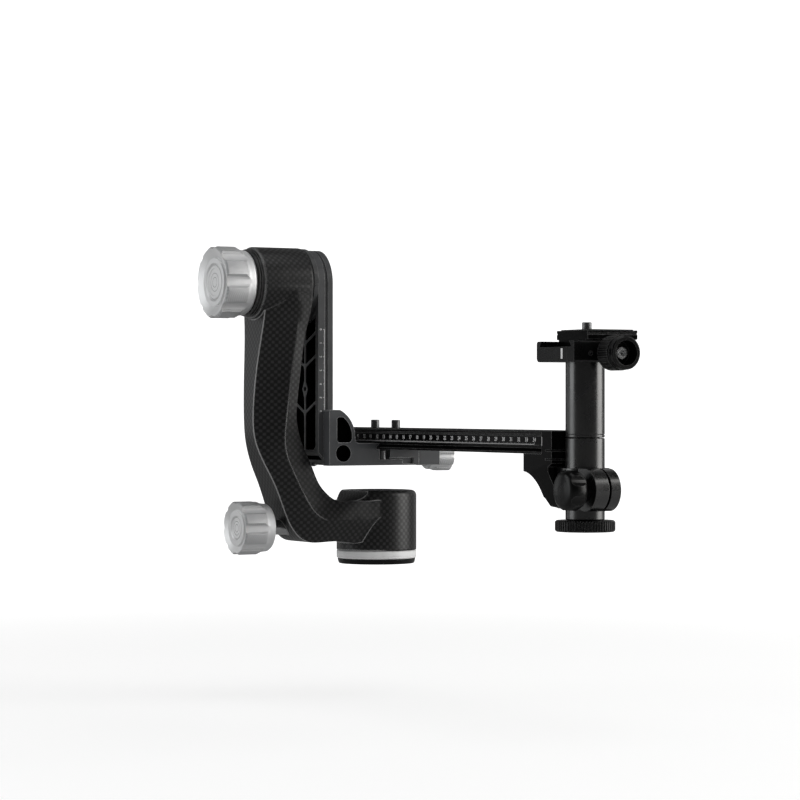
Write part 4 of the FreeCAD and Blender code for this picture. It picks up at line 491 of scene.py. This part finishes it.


# boxes round the arm's pockets and the cradle's windows, where the skin is painted near black as painted shade
armPocketShadeBox = ((-0.0596, -0.0205, 0.078), (-0.0542, 0.0205, 0.200))
cradleWindowShadeBox = ((-0.0532, -0.0345, 0.0762), (-0.0385, -0.0262, 0.1106))
skins = {
    # name: colour, colour of the rubbed edges and of the painted edge highlight, roughness, and what else isn't
    # the usual
    "satinBlack": dict(colour=grey(0.0020, 0.06), edgeWearAndHighlight=grey(0.16), rough=0.27, level=0.32),
    "railBlack": dict(colour=grey(0.0018, 0.06), edgeWearAndHighlight=grey(0.34), rough=0.20, level=0.10, edge=0.0005),
    "postBlack": dict(colour=grey(0.0018, 0.10), edgeWearAndHighlight=grey(0.10), rough=0.27, level=0.90, ior=1.7),
    "darkGrey": dict(colour=grey(0.060, 0.08), edgeWearAndHighlight=grey(0.50), rough=0.40, level=0.6, edge=0.0005,
                     paintedShadeBox=armPocketShadeBox),
    "bedGrey": dict(colour=grey(0.075, 0.10), edgeWearAndHighlight=grey(0.85), rough=0.42, level=0.6, edge=0.0006),
    "cradleGrey": dict(colour=grey(0.070, 0.10), edgeWearAndHighlight=grey(0.85), rough=0.42, level=0.6, edge=0.0006,
                       paintedShadeBox=cradleWindowShadeBox),
    "flangeBlack": dict(colour=grey(0.020, 0.05), edgeWearAndHighlight=grey(0.22), rough=0.30, level=0.7),
    "flangeGrey": dict(colour=grey(0.055, 0.05), edgeWearAndHighlight=grey(0.30), rough=0.28, level=0.8),
    "blackSteel": dict(colour=grey(0.018, 0.02), edgeWearAndHighlight=grey(0.16), rough=0.34, metal=0.4),
}
metals = {
    # name: colour, roughness, the turning axis where it isn't the pan axis, and the cut's look
    "panSteel": dict(colour=grey(0.58, 0.01), rough=0.30),
    "tiltSteel": dict(colour=grey(0.55, 0.01), rough=0.32, centre=tiltCentre, axis=alongX),
    "studSteel": dict(colour=grey(0.62, 0.01), rough=0.22, centre=panLockCentre, axis=alongX, pitch=0.0005),
    "pinSteel": dict(colour=grey(0.50, 0.02), rough=0.34),
    "duskSteel": dict(colour=grey(0.26, 0.02), rough=0.42),
    "shoeBrass": dict(colour=(0.62, 0.42, 0.16, 1), rough=0.32, centre=panLockCentre, axis=alongX),
    "ringSilver": dict(colour=grey(0.97), rough=0.55, pitch=0.00025, marks=0.20, metal=0.1),
    "tiltCapSilver": dict(colour=grey(0.95), rough=0.52, centre=tiltCentre, axis=alongX, pitch=0.0003,
                          marks=0.35, rings=(0.0036, 0.0066), metal=0.7),
    "panCapSilver": dict(colour=grey(0.95), rough=0.52, centre=panLockCentre, axis=alongX, pitch=0.0003,
                         marks=0.35, rings=(0.0028, 0.0050), metal=0.7),
}
knobs = {
    # name: the knob's node and the way its front face looks
    "tiltKnobSilver": ("tilt_knob", (-1, 0, 0)),
    "panKnobSilver": ("pan_knob", (-1, 0, 0)),
    "jawKnobSilver": ("clamp_knob", (1, 0, 0)),
    "lockKnobSilver": ("height_knob", (0, 1, 0)),
}
made = {name: anodised(name, **values) for name, values in skins.items()}
made |= {name: bareMetal(name, **values) for name, values in metals.items()}
made |= {name: knobMetal(name, *values) for name, values in knobs.items()}
made |= {"carbonSkin": carbonSkin(), "padRubber": padRubber(), "scaleWhite": scaleWhite(),
         "nylon": plainPlastic("nylon", grey(0.62))}
print("materials made:", len(made))

finishes = {
    # material: the nodes that have it
    "satinBlack": "base_plate hub_cap collar_knob height_wheel camera_clamp camera_jaw camera_knob",
    "ringSilver": "base_ring",
    "panSteel": "base_screws pan_spindle spindle_nut pan_bearing_lower pan_bearing_upper",
    "carbonSkin": "yoke",
    "shoeBrass": "pan_brake_shoe",
    "studSteel": "pan_lock_bush pan_lock_stud camera_clamp_screw",
    "tiltSteel": "tilt_bearing_outer tilt_bearing_inner tilt_lock_stud shaft_clip",
    "nylon": "tilt_brake_disc height_gib",
    "flangeBlack": "tilt_collar",
    "tiltKnobSilver": "tilt_knob",
    "tiltCapSilver": "tilt_knob_cap",
    "panKnobSilver": "pan_knob",
    "panCapSilver": "pan_knob_cap",
    "darkGrey": "swing_arm",
    "flangeGrey": "tilt_shaft",
    "blackSteel": "arm_screws rail_stop_screws bracket_screws clamp_bolt plate_stop_screws",
    "pinSteel": "arm_stop_screw height_lock_stud jaw_guides jaw_spring clamp_screw collar_screw lead_screw "
                "screw_clip camera_jaw_guides",
    "cradleGrey": "cradle",
    "lockKnobSilver": "height_knob",
    "duskSteel": "safety_pin lens_screws camera_screw",
    "bedGrey": "clamp_jaw",
    "jawKnobSilver": "clamp_knob",
    "railBlack": "lens_rail end_bracket camera_plate",
    "postBlack": "post_collar post_sleeve post_tube",
    "padRubber": "plate_pad",
}


def dressNodes():
    # smooth shading with the loose triangles joined, and the edges sharper than 28 degrees kept
    for material, names in finishes.items():
        for name in names.split():
            piece = nodes[name]
            piece.data.materials.clear()
            piece.data.materials.append(made[material])
            piece.data.shade_smooth()
            joined = piece.modifiers.new("joined", "WELD")
            joined.merge_threshold = 0.000002
            creases = piece.modifiers.new("creases", "EDGE_SPLIT")
            creases.split_angle = math.radians(28)


def barArrays(centres, sizes, origin, across, up):
    # flat bars in a plane: each is centre -+ half its size along the two directions
    corners = np.array([(-1, -1), (1, -1), (1, 1), (-1, 1)]) / 2
    flat = centres[:, None, :] + corners[None, :, :] * sizes[:, None, :]
    points = origin + flat[..., :1] * across + flat[..., 1:] * up
    faces = np.arange(len(centres) * 4).reshape(-1, 4)
    return points.reshape(-1, 3), faces.tolist()


def numeralArrays(last, rise, size, origin, across, up):
    # built-in font, filled flat and made a mesh, each numeral centred on its centimetre
    points, faces, start = [], [], 0
    for number in range(last + 1):
        curve = bpy.data.curves.new("numeral", "FONT")
        curve.body = str(number)
        curve.size = size
        curve.align_x = "CENTER"
        curve.align_y = "CENTER"
        curve.resolution_u = 3
        holder = bpy.data.objects.new("numeral", curve)
        mesh = bpy.data.meshes.new_from_object(holder)
        flat = np.zeros(len(mesh.vertices) * 3)
        mesh.vertices.foreach_get("co", flat)
        flat = flat.reshape(-1, 3)[:, :2] + (number * cm, rise)
        points.append(origin + flat[:, :1] * across + flat[:, 1:] * up)
        faces += [[index + start for index in face.vertices] for face in mesh.polygons]
        start += len(flat)
        bpy.data.objects.remove(holder)
        bpy.data.meshes.remove(mesh)
        bpy.data.curves.remove(curve)
    return np.concatenate(points), faces


def paintMarks(name, points, faces, body):
    mesh = bpy.data.meshes.new(name)
    mesh.from_pydata(points.tolist(), [], faces)
    mesh.materials.append(made["scaleWhite"])
    piece = addObject(name, mesh)
    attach(piece, body)


railScale = {
    "last": 34,              # centimetres
    "lastAt": -0.256,        # Y of the last numeral
    "foot": 0.0922,          # Z of the ticks' foot
    "ticks": (0.0007, 0.0011, 0.0015),   # at 1, 5 and 10 millimetres
    "line": 0.00016,
    "numeral": 0.0038,
    "numeralRise": 0.0031,   # middle of the numerals, from the ticks' foot
    "proud": 0.00003,
}
armScale = {
    "last": 6,
    "topAt": 0.174,          # Z of the numeral 0
    "foot": -0.0569,         # X of the ticks' foot, beside the groove
    "ticks": (0.0006, 0.0009, 0.0012),
    "line": 0.00026,
    "numeral": 0.0026,
    "numeralRise": 0.0031,
    "proud": 0.00001,        # the cradle passes over these marks
}


def makeScale(name, spec, origin, across, up, body):
    # a ruler: a tick each millimetre, longer at 5 and 10, a line along their feet, and a numeral
    # at each centimetre
    steps = np.arange(spec["last"] * 10 + 1)
    kind = np.where(steps % 10 == 0, 2, np.where(steps % 5 == 0, 1, 0))
    tall = np.array(spec["ticks"])[kind]
    full = spec["last"] * cm
    centres = np.append(np.stack([steps * mm, tall / 2], axis=1), [[full / 2, 0.0]], axis=0)
    sizes = np.append(np.stack([np.full(len(steps), spec["line"]), tall], axis=1), [[full, spec["line"]]],
                      axis=0)
    bars, faces = barArrays(centres, sizes, origin, across, up)
    numerals, moreFaces = numeralArrays(spec["last"], spec["numeralRise"], spec["numeral"], origin, across, up)
    faces += [[index + len(bars) for index in face] for face in moreFaces]
    paintMarks(name, np.concatenate([bars, numerals]), faces, body)


railIndex = {
    "at": (-0.2655, 0.0945),     # Y and Z of the line's middle
    "size": (0.0004, 0.0060),    # width and length
    "proud": 0.00003,
}
clampIndex = {
    "at": (-0.2940, 0.1525),
    "size": (0.0022, 0.0068),
    "proud": 0.00003,
}
backward = np.array([0, -1.0, 0])
upward = np.array([0, 0, 1.0])


def makeIndex(name, spec, node, body):
    # one white line on the node's face that is turned to -X
    origin = np.array([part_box(node)[0].x - spec["proud"], *spec["at"]])
    points, faces = barArrays(np.zeros((1, 2)), np.array([spec["size"]]), origin, backward, upward)
    paintMarks(name, points, faces, body)


def makeScales():
    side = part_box("lens_rail")[0].x - railScale["proud"]
    start = railScale["lastAt"] + railScale["last"] * cm
    makeScale("railScale", railScale, np.array([side, start, railScale["foot"]]), backward, upward, "rail")
    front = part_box("swing_arm")[0].y - armScale["proud"]
    makeScale("armScale", armScale, np.array([armScale["foot"], front, armScale["topAt"]]), -upward,
              np.array([-1.0, 0, 0]), "swing")
    makeIndex("railIndex", railIndex, "lens_rail", "rail")
    makeIndex("clampIndex", clampIndex, "camera_clamp", "tube")


studio = {
    "floorHeight": -0.10,
    "floorFrom": -6,         # along the view, from behind the camera to where the floor bends up
    "floorTo": 3,
    "bend": 1.2,             # radius of the quarter round between floor and wall
    "wallFrom": 1.6,
    "wallTop": 5,
    "halfWidth": 7,
    "floor": grey(0.60),
    "floorMirrored": grey(0.34),
    "glowReach": (0.4, 2.0),     # distance from the object between which the glow grows
    "glow": (0.54, 1.0),
    "aheadReach": (0.40, 0.98),  # mirrored light grows from the first to the second, towards the backdrop
    "ahead": (0.03, 0.50),
    "fill": 0.44,
}


def makeFloor():
    # floor: a pale sheet that rises behind into a wall along a quarter round
    angles = np.linspace(0, np.pi / 2, 40)[1:]
    run = np.concatenate([np.linspace(studio["floorFrom"], studio["floorTo"], 10),
                          studio["floorTo"] + studio["bend"] * np.sin(angles),
                          np.full(4, studio["floorTo"] + studio["bend"])])
    rise = np.concatenate([np.zeros(10), studio["bend"] * (1 - np.cos(angles)),
                           np.linspace(studio["wallFrom"], studio["wallTop"], 4)]) + studio["floorHeight"]
    wide = np.linspace(-studio["halfWidth"], studio["halfWidth"], 3)
    points = (run[:, None, None] * np.array(viewForward) + wide[None, :, None] * np.array(viewRight)
              + rise[:, None, None] * upward).reshape(-1, 3)
    index = np.arange(len(points)).reshape(len(run), len(wide))
    corners = [index[:-1, :-1], index[:-1, 1:], index[1:, 1:], index[1:, :-1]]
    mesh = bpy.data.meshes.new("studioFloor")
    mesh.from_pydata(points.tolist(), [], np.stack(corners, axis=-1).reshape(-1, 4).tolist())
    mesh.materials.append(floorSheet())
    addObject("studioFloor", mesh)


def floorSheet():
    # matte sheet, darker in reflections; what the lens sees of it also glows, more the farther
    # it lies from the object
    material = bpy.data.materials.new("studioFloor")
    tree = clearTree(material)
    path = tree.nodes.new("ShaderNodeLightPath").outputs
    colour = blendColour(tree, path["Is Glossy Ray"], studio["floor"], studio["floorMirrored"])
    matte = addNode(tree, "ShaderNodeBsdfDiffuse", {"Color": colour}).outputs[0]
    away = vectorCalc(tree, "LENGTH", tree.nodes.new("ShaderNodeTexCoord").outputs["Object"])
    glow = addNode(tree, "ShaderNodeEmission", {
        "Color": grey(1.0), "Strength": remap(tree, away, *studio["glowReach"], *studio["glow"])})
    lit = addNode(tree, "ShaderNodeAddShader", {0: matte, 1: glow.outputs[0]}).outputs[0]
    seen = calc(tree, "MAXIMUM", path["Is Camera Ray"], path["Is Transmission Ray"])
    mix = addNode(tree, "ShaderNodeMixShader", {0: seen, 1: matte, 2: lit})
    addNode(tree, "ShaderNodeOutputMaterial", {"Surface": mix.outputs[0]})
    return material


def makeWorld():
    # mirrored light: bright straight towards the backdrop, dim at the sides and behind the
    # camera; all other light is even, and the lens sees white
    world = bpy.data.worlds.new("studio")
    scene.world = world
    tree = clearTree(world)
    path = tree.nodes.new("ShaderNodeLightPath").outputs
    seen = calc(tree, "MAXIMUM", path["Is Camera Ray"], path["Is Transmission Ray"])
    way = tree.nodes.new("ShaderNodeTexCoord").outputs["Generated"]
    ahead = vectorCalc(tree, "DOT_PRODUCT", way, tuple(viewForward))
    glossy = times(tree, path["Is Glossy Ray"], remap(tree, ahead, *studio["aheadReach"], *studio["ahead"]))
    plain = times(tree, oneMinus(tree, path["Is Glossy Ray"]), studio["fill"])
    strength = calc(tree, "MAXIMUM", seen, plus(tree, glossy, plain))
    light = addNode(tree, "ShaderNodeBackground", {"Color": grey(1.0), "Strength": strength})
    addNode(tree, "ShaderNodeOutputWorld", {"Surface": light.outputs[0]})


makeCamera()
makeLamps()
makeFloor()
makeWorld()
print("room, lamps and camera placed")
dressNodes()
print("materials put on the nodes")
makeScales()
print("scales drawn")

bpy.context.scene.view_settings.view_transform = "Standard"
